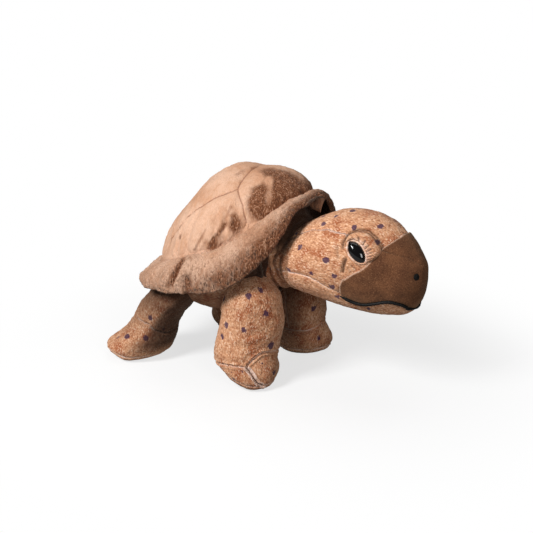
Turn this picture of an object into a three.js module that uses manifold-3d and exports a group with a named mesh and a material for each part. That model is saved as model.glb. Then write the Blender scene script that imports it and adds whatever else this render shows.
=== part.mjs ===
// A stuffed plush turtle on four feet: a sewn shell with a loose brim, a large head with a felt beak on a
// short neck, four stuffed legs and a small tail. Millimetres, +X forward, +Y to its left, +Z up.
// Places along X are counted from the middle of the front feet and the rear right foot, then moved as one.
import * as THREE from "three";
import { mergeVertices } from "three/addons/utils/BufferGeometryUtils.js";
import Module from "manifold-3d";

const wasm = await Module();
wasm.setup();

const MIDDLE_FORWARD = 56; // the middle of the whole length, ahead of the middle of the feet

// Cloth and seams
const CLOTH = 1.8; // plush with its backing and the pile pressed flat
const SEAM_GAP = 0.3; // between two cloth edges
const STUFFING_GAP = 0.7; // between the cloth and the stuffing under it
const OVERRUN = 30; // how far a cutter runs past what it cuts

// Shell and trunk
const SHELL_LENGTH = 134; // along the dome's sewn edge
const SHELL_WIDTH = 124;
const SHELL_TOP = 177;
const SHELL_FORWARD = 13; // the middle of the dome
const SHELL_REAR = SHELL_FORWARD - SHELL_LENGTH / 2;
const SHELL_FRONT = SHELL_FORWARD + SHELL_LENGTH / 2;
const APEX_FORWARD = 6; // the highest point, ahead of the middle of the dome
const BELLY_BOTTOM = 52;
const BRIM_REACH = 23; // how far the brim stands out at the front and back
const BRIM_SIDE_REACH = 16; // and at the sides
const COLLAR_DROP = 5; // the collar round the neck starts this far under the dome's sewn edge

// Head and neck
const HEAD_LENGTH = 137; // from inside the neck seam to the front of the beak
const HEAD_REAR = 60; // the back of the head's form
const HEAD_WIDTH = 79;
const HEAD_HEIGHT = 84;
const HEAD_BOTTOM = 71.5; // the lowest point of the chin, above the floor
const NECK_RADIUS = 26; // the ball of stuffing that the head turns on
const NECK_FORWARD = 64;
const NECK_LIFT = 110;
const NECK_SHOW = 12; // how far the neck's sleeve reaches to each side of the ball's middle
const NECK_GAP = 3; // between the ball's middle and the sewn back edge of the head
const NECK_SLOPE = 17; // degrees that the collar leans back, which leaves room for the head's turn

// Face
const EYE_LENGTH = 20;
const EYE_WIDTH = 13;
const EYE_DOME = 4; // how far the eye stands out of the cloth
const EYE_TILT = -41; // degrees, its long axis seen from the side
const SHANK_WIDTH = 5;
const SHANK_LENGTH = 9;
const WASHER_WIDTH = 12;
const WASHER_THICKNESS = 1.5;
const WASHER_DEPTH = 1.1; // how far under the curved cloth its face lies
const SHANK_CLEARANCE = 0.2; // between the shank and the washer pushed on it
const NOSTRIL_WIDTH = 7;
const NOSTRIL_THICKNESS = 1.2;
const MOUTH_CORD = 2.6;

// Legs
const STANCE_LENGTH = 112; // between the middles of a front foot and the rear right foot
const STANCE_WIDTH = 84; // between the middles of the left and right feet
const STANCE_FORWARD = -3;
const LEFT_STEP = 46; // how far the rear left foot stands ahead of the rear right one
const LEFT_SPREAD = 6; // and how much further out
const SPLAY = 45; // degrees that the toes point away from straight ahead, or from straight back
const LEG_ROOM = 15; // degrees of room in the trunk for a leg that bends forward and back where it is sewn on
const SOLE_SEAM = 5; // height of the seam round the sole
const ANKLE_SEAM = 25; // height of the seam round the foot
const FRONT_HIP_INSET = 26; // behind the front of the shell
const FRONT_HIP_FORWARD = SHELL_FRONT - FRONT_HIP_INSET;
const FRONT_HIP_MARGIN = 25; // in from the side of the shell
const FRONT_HIP_SPREAD = SHELL_WIDTH / 2 - FRONT_HIP_MARGIN; // from the middle plane
const FRONT_HIP_LIFT = 70;
const FRONT_LEG_WIDTH = 50;
const FRONT_FOOT_LENGTH = 56;
const REAR_HIP_INSET = 37; // ahead of the rear of the shell
const REAR_HIP_FORWARD = SHELL_REAR + REAR_HIP_INSET;
const REAR_HIP_MARGIN = 29;
const REAR_HIP_SPREAD = SHELL_WIDTH / 2 - REAR_HIP_MARGIN;
const REAR_HIP_LIFT = 72;
const REAR_LEG_WIDTH = 48;
const REAR_FOOT_LENGTH = 56;

// Tail
const TAIL_LENGTH = 30;
const TAIL_WIDTH = 18;
const TAIL_INSET = 8; // ahead of the rear of the shell
const TAIL_FORWARD = SHELL_REAR + TAIL_INSET;
const TAIL_LIFT = 76;
const TAIL_DROOP = 30; // degrees
const TAIL_SWING = 15; // degrees to each side

// Round one side of the shell from its front to its back: share of the half turn, then the height as a
// share of the shell's, of the dome's sewn edge and of the brim's free edge. The brim's last share is of
// its reach.
const creaseHeightShares = [
  [0, 0.89],
  [0.08, 0.885],
  [0.16, 0.845],
  [0.25, 0.78],
  [0.31, 0.732],
  [0.38, 0.675],
  [0.5, 0.622],
  [0.65, 0.555],
  [0.8, 0.52],
  [1, 0.51],
];
const brimEdgeShares = [
  [0, 0.9, 0.5],
  [0.07, 0.884, 0.57],
  [0.12, 0.868, 0.62],
  [0.16, 0.83, 0.75],
  [0.22, 0.762, 1.02],
  [0.28, 0.675, 1.05],
  [0.34, 0.588, 1.02],
  [0.4, 0.537, 1],
  [0.48, 0.5, 1],
  [0.6, 0.465, 1],
  [0.75, 0.435, 1],
  [1, 0.43, 1],
];
const DOME_FULLNESS = [2.2, 1.5]; // exponent of the dome's rounding at its front and at its back
const BOWL_FULLNESS = 2.2;
const BRIM_DROP = 1.4; // exponent of the brim's fall from the sewn edge

// Seams of the dome seen from the side: shares of the shell's length from its middle, and of its height.
const frontSeamShares = [
  [0.164, 1.1],
  [0.164, 0.972],
  [0.174, 0.942],
  [0.257, 0.886],
  [0.306, 0.824],
  [0.331, 0.776],
  [0.36, 0.66],
];
const sideSeamShares = [
  [0.174, 0.942],
  [0.048, 0.898],
  [-0.082, 0.83],
  [-0.149, 0.788],
  [-0.3, 0.65],
  [-0.42, 0.4],
];

// Along the head from the neck: share of its length, then the shares of its height at which its top and
// its bottom lie, then the share of its width.
const headOutlineShares = [
  [0, 0.45, 0.45, 0],
  [0.03, 0.57, 0.3, 0.6],
  [0.07, 0.64, 0.22, 0.78],
  [0.13, 0.715, 0.15, 0.88],
  [0.22, 0.81, 0.085, 0.95],
  [0.34, 0.915, 0.045, 1],
  [0.46, 0.98, 0.02, 1],
  [0.58, 1, 0.005, 0.95],
  [0.7, 0.975, 0, 0.85],
  [0.8, 0.905, 0.015, 0.71],
  [0.89, 0.79, 0.05, 0.54],
  [0.95, 0.67, 0.13, 0.38],
  [0.985, 0.57, 0.26, 0.2],
  [1, 0.42, 0.42, 0],
];

// Seams of the face seen from the side, as shares of the head's length and height: where the felt beak
// starts, the mouth from its corner to the tip, the seam under the cheek, and the outline of an eyelid.
const beakEdgeShares = [
  [0.87, 1.1],
  [0.85, 0.837],
  [0.839, 0.824],
  [0.791, 0.758],
  [0.755, 0.661],
  [0.717, 0.576],
  [0.661, 0.514],
  [0.586, 0.423],
  [0.569, 0.356],
  [0.56, 0.25],
];
const mouthShares = [
  [0.56, 0.25],
  [0.634, 0.195],
  [0.68, 0.182],
  [0.729, 0.193],
  [0.836, 0.242],
  [0.893, 0.219],
  [0.92, 0.185],
  [0.94, 0.12],
];
const chinSeamShares = [
  [-0.1, 0.33],
  [0.07, 0.35],
  [0.218, 0.385],
  [0.304, 0.4],
  [0.363, 0.39],
  [0.426, 0.354],
  [0.491, 0.293],
  [0.56, 0.25],
];
const eyelidShares = [
  [0.562, 0.857],
  [0.606, 0.875],
  [0.664, 0.875],
  [0.722, 0.845],
  [0.77, 0.79],
  [0.785, 0.735],
  [0.77, 0.68],
  [0.74, 0.61],
  [0.7, 0.62],
  [0.657, 0.72],
  [0.6, 0.79],
];
const eyeShares = [0.658, 0.717];
const nostrilShares = [0.974, 0.49];

// The strip over the head, from neck to beak: share of the head's length, half its width as a share of
// the head's width.
const stripShares = [
  [-0.1, 0.24],
  [0.32, 0.28],
  [0.44, 0.31],
  [0.56, 0.33],
  [0.66, 0.27],
  [0.74, 0.25],
  [0.8, 0.27],
  [0.876, 0.2],
  [0.923, 0.14],
  [0.977, 0.035],
];

// Down a leg from the hip: share of the hip's height, the foot's push towards the toes and half its
// length as shares of the foot's length, and half its width as a share of the leg's.
const frontLegShares = [
  [1, 0, 0.44, 0.5],
  [0.75, 0.01, 0.4, 0.54],
  [0.55, 0.01, 0.38, 0.56],
  [0.38, 0, 0.36, 0.52],
  [0.27, 0.04, 0.41, 0.53],
  [0.15, 0.08, 0.51, 0.55],
  [0.05, 0.08, 0.49, 0.5],
  [0, 0.08, 0.37, 0.37],
];
const rearLegShares = [
  [1, 0, 0.43, 0.5],
  [0.75, 0.04, 0.4, 0.49],
  [0.5, 0.08, 0.39, 0.48],
  [0.36, 0.09, 0.42, 0.49],
  [0.22, 0.12, 0.49, 0.52],
  [0.12, 0.13, 0.52, 0.51],
  [0.04, 0.13, 0.48, 0.47],
  [0, 0.13, 0.37, 0.37],
];
// Down the tail from its root: share of its length, share of its width.
const tailShares = [
  [0, 1],
  [0.35, 0.86],
  [0.7, 0.58],
  [0.92, 0.3],
  [1, 0],
];

const colours = {
  shell: 0xa87a55,
  print: 0xbd8258,
  felt: 0x6c4e34,
  gloss: 0x0b0a0a,
  cord: 0x17120f,
  stuffing: 0xe9e6df,
  plastic: 0xd8d8d4,
};

const turtle = new THREE.Group();
turtle.position.x = -MIDDLE_FORWARD;
const DEGREE = Math.PI / 180;

function addPiece(name, solid, colour, roughness = 0.95) {
  const mesh = new THREE.Mesh(
    toGeometry(solid),
    new THREE.MeshStandardMaterial({ color: colours[colour], roughness, metalness: 0 }),
  );
  mesh.name = name;
  turtle.add(mesh);
}

// Solids and geometry

function toSolid(geometry) {
  const shape = geometry.clone();
  shape.deleteAttribute("normal");
  shape.deleteAttribute("uv");
  const merged = mergeVertices(shape);
  return new wasm.Manifold(
    new wasm.Mesh({
      numProp: 3,
      vertProperties: merged.attributes.position.array,
      triVerts: new Uint32Array(merged.index.array),
    }),
  );
}

function toGeometry(solid) {
  const mesh = solid.getMesh();
  return new THREE.BufferGeometry()
    .setAttribute("position", new THREE.BufferAttribute(mesh.vertProperties, 3))
    .setIndex(new THREE.BufferAttribute(mesh.triVerts, 1));
}

// A smooth closed form moved out along its own normals, or in where the distance is negative.
function grown(form, distance) {
  const shape = form.clone();
  shape.deleteAttribute("normal");
  shape.computeVertexNormals();
  const { position, normal } = shape.attributes;
  for (let i = 0; i < position.count; i++) {
    position.setXYZ(
      i,
      position.getX(i) + normal.getX(i) * distance,
      position.getY(i) + normal.getY(i) * distance,
      position.getZ(i) + normal.getZ(i) * distance,
    );
  }
  return shape;
}

const clearOf = (form) => toSolid(grown(form, SEAM_GAP));
const skinOf = (form) => toSolid(form).subtract(toSolid(grown(form, -CLOTH)));
const stuffingOf = (form) => toSolid(grown(form, -CLOTH - STUFFING_GAP));

// A smooth value at place t of rows that start with their own place.
function valueAt(rows, t, column) {
  const last = rows.length - 1;
  const rising = rows[last][0] > rows[0][0];
  const passed = rows.filter((row) => (rising ? row[0] <= t : row[0] >= t)).length;
  const i = Math.min(Math.max(passed - 1, 0), last - 1);
  const slope = (k) => {
    const before = rows[Math.max(k - 1, 0)];
    const after = rows[Math.min(k + 1, last)];
    return (after[column] - before[column]) / (after[0] - before[0]);
  };
  const step = rows[i + 1][0] - rows[i][0];
  const s = Math.min(Math.max((t - rows[i][0]) / step, 0), 1);
  const blend = THREE.MathUtils.smoothstep(s, 0, 1);
  const bend = step * s * (1 - s) * (slope(i) * (1 - s) - slope(i + 1) * s);
  return rows[i][column] * (1 - blend) + rows[i + 1][column] * blend + bend;
}

// A closed surface between two poles: pointAt takes the share from pole to pole and the share of a turn.
function closedForm(rows, columns, pointAt) {
  const positions = [];
  const index = [];
  const firsts = [];
  for (let r = 0; r <= rows; r++) {
    firsts.push(positions.length / 3);
    const count = r === 0 || r === rows ? 1 : columns;
    for (let c = 0; c < count; c++) positions.push(...pointAt(r / rows, c / columns));
  }
  const at = (r, c) => firsts[r] + (r === 0 || r === rows ? 0 : c % columns);
  for (let r = 0; r < rows; r++) {
    for (let c = 0; c < columns; c++) {
      if (r > 0) index.push(at(r, c), at(r + 1, c), at(r, c + 1));
      if (r < rows - 1) index.push(at(r, c + 1), at(r + 1, c), at(r + 1, c + 1));
    }
  }
  return new THREE.BufferGeometry()
    .setAttribute("position", new THREE.Float32BufferAttribute(positions, 3))
    .setIndex(index);
}

// A solid between a grid of points and the grid under it, with walls round its edge.
function slab(rows, columns, pointAt) {
  const positions = [];
  for (const layer of [0, 1]) {
    for (let r = 0; r <= rows; r++) {
      for (let c = 0; c <= columns; c++) positions.push(...pointAt(r / rows, c / columns, layer));
    }
  }
  const at = (r, c, layer) => (layer * (rows + 1) + r) * (columns + 1) + c;
  const index = [];
  const quad = (a, b, c, d) => index.push(a, b, c, a, c, d);
  for (let r = 0; r < rows; r++) {
    for (let c = 0; c < columns; c++) {
      quad(at(r, c, 0), at(r + 1, c, 0), at(r + 1, c + 1, 0), at(r, c + 1, 0));
      quad(at(r, c, 1), at(r, c + 1, 1), at(r + 1, c + 1, 1), at(r + 1, c, 1));
    }
    quad(at(r, 0, 0), at(r, 0, 1), at(r + 1, 0, 1), at(r + 1, 0, 0));
    quad(at(r + 1, columns, 0), at(r + 1, columns, 1), at(r, columns, 1), at(r, columns, 0));
  }
  for (let c = 0; c < columns; c++) {
    quad(at(0, c + 1, 0), at(0, c + 1, 1), at(0, c, 1), at(0, c, 0));
    quad(at(rows, c, 0), at(rows, c, 1), at(rows, c + 1, 1), at(rows, c + 1, 0));
  }
  return new THREE.BufferGeometry()
    .setAttribute("position", new THREE.Float32BufferAttribute(positions, 3))
    .setIndex(index);
}

// A closed outline moved outwards in its own plane.
function widened(outline, distance) {
  const turn = Math.sign(THREE.ShapeUtils.area(outline.map(([x, y]) => new THREE.Vector2(x, y))));
  return outline.map((point, i) => {
    const before = outline[(i + outline.length - 1) % outline.length];
    const after = outline[(i + 1) % outline.length];
    const [a, b] = [
      [before, point],
      [point, after],
    ].map(([from, to]) => {
      const length = Math.hypot(to[0] - from[0], to[1] - from[1]);
      return [((to[1] - from[1]) * turn) / length, ((from[0] - to[0]) * turn) / length];
    });
    const spread = 1 + a[0] * b[0] + a[1] * b[1];
    return [point[0] + (distance * (a[0] + b[0])) / spread, point[1] + (distance * (a[1] + b[1])) / spread];
  });
}

// Blocks with an outline seen from above, between two heights, or seen from the side, between two places
// along Y.
function planBlock(outline, low, high) {
  const shape = new THREE.Shape(outline.map(([x, y]) => new THREE.Vector2(x, y)));
  const block = new THREE.ExtrudeGeometry(shape, { depth: high - low, bevelEnabled: false });
  return toSolid(block.translate(0, 0, low));
}
function sideBlock(outline, near, far) {
  const shape = new THREE.Shape(outline.map(([x, z]) => new THREE.Vector2(x, z)));
  const block = new THREE.ExtrudeGeometry(shape, { depth: far - near, bevelEnabled: false });
  return toSolid(block.rotateX(Math.PI / 2).translate(0, far, 0));
}
function box(low, high) {
  const sizes = high.map((value, i) => value - low[i]);
  const middle = high.map((value, i) => (value + low[i]) / 2);
  return toSolid(new THREE.BoxGeometry(...sizes).translate(...middle));
}
// The half of space on one side of the middle plane, half a seam's gap off it.
function halfSpace(side) {
  const wide = SHELL_WIDTH + OVERRUN;
  const edge = SEAM_GAP / 2;
  const far = HEAD_LENGTH + SHELL_LENGTH;
  const [from, to] = side > 0 ? [edge, wide] : [-wide, -edge];
  return box([-far, from, -OVERRUN], [far, to, SHELL_TOP + OVERRUN]);
}
const joined = (solids) => solids.reduce((sum, solid) => sum.add(solid));
// A solid at the middle and both ends of its swing about an axis through a point.
function swept(form, point, axis, swing) {
  return joined(
    [-swing, 0, swing].map((angle) =>
      toSolid(
        form
          .clone()
          .translate(...point.map((value) => -value))
          .applyMatrix4(new THREE.Matrix4().makeRotationAxis(axis, angle * DEGREE))
          .translate(...point),
      ),
    ),
  );
}

// Shell and trunk

const DOME_COLUMNS = 24;
const STUFFING_COLUMNS = 12; // round the stuffing of the trunk and of the head
const DOME_ROWS = 12;

function sideShare(turn) {
  return turn > 0.5 ? 2 - turn * 2 : turn * 2;
}

// The trunk: a dome above the sewn edge and a shallower bowl under it, each a rounded quarter arch.
function trunkPoint(down, turn) {
  const angle = turn * 2 * Math.PI;
  const side = sideShare(turn);
  const edge = valueAt(creaseHeightShares, side, 1) * SHELL_TOP;
  const upper = down < 0.5;
  const fullness = upper ? THREE.MathUtils.lerp(...DOME_FULLNESS, side) : BOWL_FULLNESS;
  const climb = Math.abs(1 - down * 2) * (Math.PI / 2);
  const reach = Math.cos(climb) ** (2 / fullness);
  const rise = Math.sin(climb) ** (2 / fullness);
  return [
    SHELL_FORWARD + APEX_FORWARD * (upper ? 1 - reach : 0) + (SHELL_LENGTH / 2) * reach * Math.cos(angle),
    (SHELL_WIDTH / 2) * reach * Math.sin(angle),
    edge + ((upper ? SHELL_TOP : BELLY_BOTTOM) - edge) * rise,
  ];
}
const trunkForm = closedForm(DOME_ROWS, DOME_COLUMNS, trunkPoint);
const coarseTrunkForm = closedForm(DOME_ROWS, STUFFING_COLUMNS, trunkPoint);

// Everything under the dome's sewn edge, lifted by a distance. Its top is flat across the sewn edge.
function underCrease(lift) {
  const wide = SHELL_LENGTH + OVERRUN;
  const mean = valueAt(creaseHeightShares, 0.5, 1) * SHELL_TOP + lift;
  const rows = [
    [0, 0],
    [SHELL_WIDTH / 4, 0],
    [SHELL_WIDTH / 3, 1],
    [wide, 1],
    [wide, 2],
    [0, 2],
  ];
  const last = rows.length - 1;
  return toSolid(
    closedForm(last, DOME_COLUMNS, (down, turn) => {
      const [reach, level] = rows[Math.round(down * last)];
      const angle = turn * 2 * Math.PI;
      const edge = valueAt(creaseHeightShares, sideShare(turn), 1) * SHELL_TOP + lift;
      return [
        SHELL_FORWARD + reach * Math.cos(angle),
        reach * Math.sin(angle),
        [mean, edge, -OVERRUN][level],
      ];
    }),
  );
}

// A point of the brim, from the sewn edge out to the free edge, and a depth under its upper face.
function brimPoint(share, turn, depth = 0) {
  const at = (s, t) => {
    const angle = t * 2 * Math.PI;
    const side = sideShare(t - Math.floor(t));
    const crease = valueAt(creaseHeightShares, side, 1) * SHELL_TOP;
    const edge = valueAt(brimEdgeShares, side, 1) * SHELL_TOP;
    const reach = valueAt(brimEdgeShares, side, 2) * BRIM_REACH;
    const out = Math.sin((s * Math.PI) / 2);
    return new THREE.Vector3(
      SHELL_FORWARD + (SHELL_LENGTH / 2 + reach * out) * Math.cos(angle),
      (SHELL_WIDTH / 2 + BRIM_SIDE_REACH * out) * Math.sin(angle),
      crease + (edge - crease) * s ** BRIM_DROP,
    );
  };
  const step = 0.01;
  const point = at(share, turn);
  const across = at(Math.min(share + step, 1), turn).sub(at(Math.max(share - step, 0), turn));
  const around = at(share, turn + step).sub(at(share, turn - step));
  const normal = across.cross(around).normalize();
  return point.addScaledVector(normal, -depth).toArray();
}

// A turned solid about the X axis through the neck ball's middle: rows of place along X and radius.
function roundNeck(rows, columns) {
  const last = rows.length - 1;
  return closedForm(last, columns, (down, turn) => {
    const [ahead, radius] = rows[Math.round(down * last)];
    const angle = turn * 2 * Math.PI;
    return [
      NECK_FORWARD + ahead,
      -radius * Math.cos(angle),
      NECK_LIFT + radius * Math.sin(angle),
    ];
  });
}
const NECK_COLUMNS = 20;
const NECK_ROWS = 10;
function ball(radius) {
  const rows = Array.from({ length: NECK_ROWS + 1 }, (_, i) => {
    const angle = (i / NECK_ROWS) * Math.PI;
    return [-radius * Math.cos(angle), i % NECK_ROWS === 0 ? 0 : radius * Math.sin(angle)];
  });
  return roundNeck(rows, NECK_COLUMNS);
}
const neckBall = ball(NECK_RADIUS);
// The room that the ball turns in: the flats of its facets lie outside the ball's corners.
const neckRoom = toSolid(ball(NECK_RADIUS / Math.cos(Math.PI / NECK_COLUMNS) ** 2 + SEAM_GAP));

// The room round the neck in the front of the trunk: behind it a cone, moved back by a distance.
function neckMouth(back) {
  const slope = Math.tan(NECK_SLOPE * DEGREE);
  const wide = SHELL_WIDTH / 2;
  const ahead = SHELL_LENGTH / 2 + OVERRUN;
  const cone = roundNeck(
    [
      [-back, 0],
      [-back - slope * wide, wide],
      [ahead, wide],
      [ahead, 0],
    ],
    NECK_COLUMNS,
  );
  return toSolid(cone).intersect(underCrease(-COLLAR_DROP + back));
}

// Head

const HEAD_ROWS = 16;
const HEAD_COLUMNS = 18;

function headSection(share) {
  const [top, bottom, half] = [1, 2, 3].map((column) => valueAt(headOutlineShares, share, column));
  return {
    middle: HEAD_BOTTOM + ((top + bottom) / 2) * HEAD_HEIGHT,
    rise: ((top - bottom) / 2) * HEAD_HEIGHT,
    half: (half * HEAD_WIDTH) / 2,
  };
}
function headPoint(along, turn) {
  const share = 0.5 - 0.5 * Math.cos(along * Math.PI);
  const { middle, rise, half } = headSection(share);
  const angle = turn * 2 * Math.PI;
  const pole = along === 0 || along === 1;
  return [
    HEAD_REAR + share * HEAD_LENGTH,
    pole ? 0 : -half * Math.cos(angle),
    pole ? middle : middle + rise * Math.sin(angle),
  ];
}
const headForm = closedForm(HEAD_ROWS, HEAD_COLUMNS, headPoint);
const coarseHeadForm = closedForm(HEAD_ROWS / 2, STUFFING_COLUMNS, headPoint);

const onHead = ([x, z]) => [HEAD_REAR + x * HEAD_LENGTH, HEAD_BOTTOM + z * HEAD_HEIGHT];

// The place on the head's side that is seen at shares of its length and height, and the way out of it.
function headSide(shares, side) {
  const at = (dx, dz) => {
    const [x, z] = onHead(shares);
    const { middle, rise, half } = headSection((x + dx - HEAD_REAR) / HEAD_LENGTH);
    const height = (z + dz - middle) / rise;
    return new THREE.Vector3(x + dx, side * half * Math.sqrt(Math.max(1 - height * height, 0)), z + dz);
  };
  const step = SEAM_GAP;
  const place = at(0, 0);
  const along = at(step, 0).sub(at(-step, 0));
  const up = at(0, step).sub(at(0, -step));
  const out = up.cross(along).multiplyScalar(side).normalize();
  return { place, out };
}

// Legs

const LEG_ROWS = 12;
const LEG_COLUMNS = 12;
const BALL_ROWS = 4;
const ROOM_COLUMNS = 18;
const ROOM_BALL_ROWS = 6;
const ROOM_LOW_ROWS = 4;

// A leg from the ball at its hip down to the flat sole. Its sections lean from the hip to the foot.
function legPoint(leg, down, turn) {
  const { hip, foot, rows, width, length, toes } = leg;
  const radius = width / 2;
  const angle = turn * 2 * Math.PI;
  const row = down * LEG_ROWS;
  let lift;
  let push = 0;
  let depth;
  let half;
  if (row < BALL_ROWS) {
    const climb = (row / BALL_ROWS) * (Math.PI / 2);
    lift = hip[2] + radius * Math.cos(climb);
    depth = row === 0 ? 0 : radius * Math.sin(climb);
    half = depth;
  } else {
    const share = Math.max(1 - (row - BALL_ROWS) / (LEG_ROWS - 1 - BALL_ROWS), 0);
    lift = hip[2] * share;
    push = valueAt(rows, share, 1) * length;
    depth = down === 1 ? 0 : valueAt(rows, share, 2) * length;
    half = down === 1 ? 0 : valueAt(rows, share, 3) * width;
  }
  const lean = Math.min(lift / hip[2], 1);
  const ahead = push + depth * Math.cos(angle);
  const across = half * Math.sin(angle);
  return [
    THREE.MathUtils.lerp(foot[0], hip[0], lean) + ahead * Math.cos(toes) - across * Math.sin(toes),
    THREE.MathUtils.lerp(foot[1], hip[1], lean) + ahead * Math.sin(toes) + across * Math.cos(toes),
    lift,
  ];
}
const legForm = (leg) => closedForm(LEG_ROWS, LEG_COLUMNS, (down, turn) => legPoint(leg, down, turn));
const slimLegForm = (leg) =>
  closedForm(LEG_ROWS, LEG_COLUMNS / 2, (down, turn) => legPoint(leg, down, turn));

// The room that a leg needs in the trunk: its ball, and under it its sections drawn out by the swing. The
// flats of the room's facets lie outside the leg's corners.
function legRoom(leg) {
  const { hip, foot, rows, width, length, toes } = leg;
  const low = BELLY_BOTTOM / 2;
  const last = ROOM_BALL_ROWS + ROOM_LOW_ROWS;
  const stretch = 1 / (Math.cos(Math.PI / ROOM_COLUMNS) * Math.cos(Math.PI / 4 / ROOM_BALL_ROWS));
  const slant = 1 + ((foot[0] - hip[0]) / hip[2]) ** 2;
  const ball = (width / 2) * stretch + SEAM_GAP;
  return toSolid(
    closedForm(last, ROOM_COLUMNS, (down, turn) => {
      const angle = turn * 2 * Math.PI;
      const row = down * last;
      if (row < ROOM_BALL_ROWS) {
        const climb = (row / ROOM_BALL_ROWS) * (Math.PI / 2);
        const radius = row === 0 ? 0 : ball * Math.sin(climb);
        const ahead = hip[0] + radius * Math.cos(angle);
        return [ahead, hip[1] + radius * Math.sin(angle), hip[2] + ball * Math.cos(climb)];
      }
      const share = Math.min((row - ROOM_BALL_ROWS) / (ROOM_LOW_ROWS - 1), 1);
      const lift = THREE.MathUtils.lerp(hip[2], low, share);
      const [push, depth, half] = [1, 2, 3].map((column) => valueAt(rows, lift / hip[2], column));
      const swing = (hip[2] - lift) * slant * Math.tan(LEG_ROOM * DEGREE);
      const wide = Math.max(Math.max(depth * length, half * width) * stretch + SEAM_GAP, ball);
      const [reach, radius] = row === last ? [0, 0] : [wide + swing, wide];
      const lean = lift / hip[2];
      const ahead = push * length * Math.cos(toes) + reach * Math.cos(angle);
      const across = push * length * Math.sin(toes) + radius * Math.sin(angle);
      const [x, y] = [0, 1].map((axis) => THREE.MathUtils.lerp(foot[axis], hip[axis], lean));
      return [x + ahead, y + across, lift];
    }),
  );
}

function frontLeg(side) {
  return {
    name: side > 0 ? "front_left" : "front_right",
    hip: [FRONT_HIP_FORWARD, FRONT_HIP_SPREAD * side, FRONT_HIP_LIFT],
    foot: [STANCE_FORWARD + STANCE_LENGTH / 2, (STANCE_WIDTH / 2) * side, 0],
    rows: frontLegShares,
    width: FRONT_LEG_WIDTH,
    length: FRONT_FOOT_LENGTH,
    toes: SPLAY * side * DEGREE,
  };
}
function rearLeg(side) {
  const step = side > 0 ? LEFT_STEP : 0;
  const spread = side > 0 ? LEFT_SPREAD : 0;
  return {
    name: side > 0 ? "rear_left" : "rear_right",
    hip: [REAR_HIP_FORWARD, REAR_HIP_SPREAD * side, REAR_HIP_LIFT],
    foot: [STANCE_FORWARD - STANCE_LENGTH / 2 + step, (STANCE_WIDTH / 2 + spread) * side, 0],
    rows: rearLegShares,
    width: REAR_LEG_WIDTH,
    length: REAR_FOOT_LENGTH,
    toes: Math.PI - SPLAY * side * DEGREE,
  };
}
const legs = [frontLeg(-1), frontLeg(1), rearLeg(-1), rearLeg(1)];
const upright = new THREE.Vector3(0, 0, 1);

// Tail

const TAIL_COLUMNS = 10;
const tailRoot = [TAIL_FORWARD, 0, TAIL_LIFT];
const tailForm = (() => {
  const radius = TAIL_WIDTH / 2;
  const rows = [
    [-radius, 0],
    [-radius * Math.SQRT1_2, radius * Math.SQRT1_2],
    ...tailShares.map(([along, wide]) => [along * TAIL_LENGTH, wide * radius]),
  ];
  const last = rows.length - 1;
  const form = closedForm(last, TAIL_COLUMNS, (down, turn) => {
    const [along, wide] = rows[Math.round(down * last)];
    return [-along, wide * Math.cos(turn * 2 * Math.PI), wide * Math.sin(turn * 2 * Math.PI)];
  });
  return form.rotateY(-TAIL_DROOP * DEGREE).translate(...tailRoot);
})();

// Torso: stuffing, dome, belly, brim and collar

const trunkSkin = skinOf(trunkForm);
const room = joined([
  ...legs.map(legRoom),
  swept(grown(tailForm, SEAM_GAP), tailRoot, upright, TAIL_SWING),
  neckRoom,
]);
const collarBack = CLOTH + SEAM_GAP;

function addTorso() {
  const stuffing = stuffingOf(coarseTrunkForm);
  addPiece("body_filling", stuffing.subtract(room).subtract(neckMouth(collarBack)), "stuffing");

  const dome = trunkSkin.subtract(underCrease(SEAM_GAP / 2));
  const onShell = ([x, z]) => [SHELL_FORWARD + x * SHELL_LENGTH, z * SHELL_TOP];
  const front = frontSeamShares.map(onShell);
  const ahead = [SHELL_FORWARD + SHELL_LENGTH, 0];
  const frontOutline = [...front, ahead, [ahead[0], front[0][1]]];
  const rear = sideSeamShares.map(onShell);
  const sideOutline = [...rear, [front.at(-1)[0] + OVERRUN, rear.at(-1)[1]], [ahead[0], rear[0][1]]];
  const wide = SHELL_WIDTH;
  const frontBlock = sideBlock(frontOutline, -wide, wide);
  const frontClear = sideBlock(widened(frontOutline, SEAM_GAP), -wide, wide);
  const sideClear = sideBlock(widened(sideOutline, SEAM_GAP), -wide, wide);
  addPiece("shell_front", dome.intersect(frontBlock), "shell");
  addPiece("shell_crown", dome.subtract(frontClear).subtract(sideClear), "shell");
  const sides = dome.intersect(sideBlock(sideOutline, -wide, wide)).subtract(frontClear);
  addPiece("shell_side_right", sides.intersect(halfSpace(-1)), "shell");
  addPiece("shell_side_left", sides.intersect(halfSpace(1)), "shell");

  const belly = trunkSkin.intersect(underCrease(-SEAM_GAP / 2)).subtract(room).subtract(neckMouth(0));
  addPiece("belly_right", belly.intersect(halfSpace(-1)), "print");
  addPiece("belly_left", belly.intersect(halfSpace(1)), "print");

  const lining = toSolid(grown(trunkForm, -CLOTH - SEAM_GAP));
  const collar = lining.intersect(neckMouth(CLOTH)).subtract(neckMouth(0)).subtract(room);
  addPiece("neck_collar", collar, "shell");
}

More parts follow.
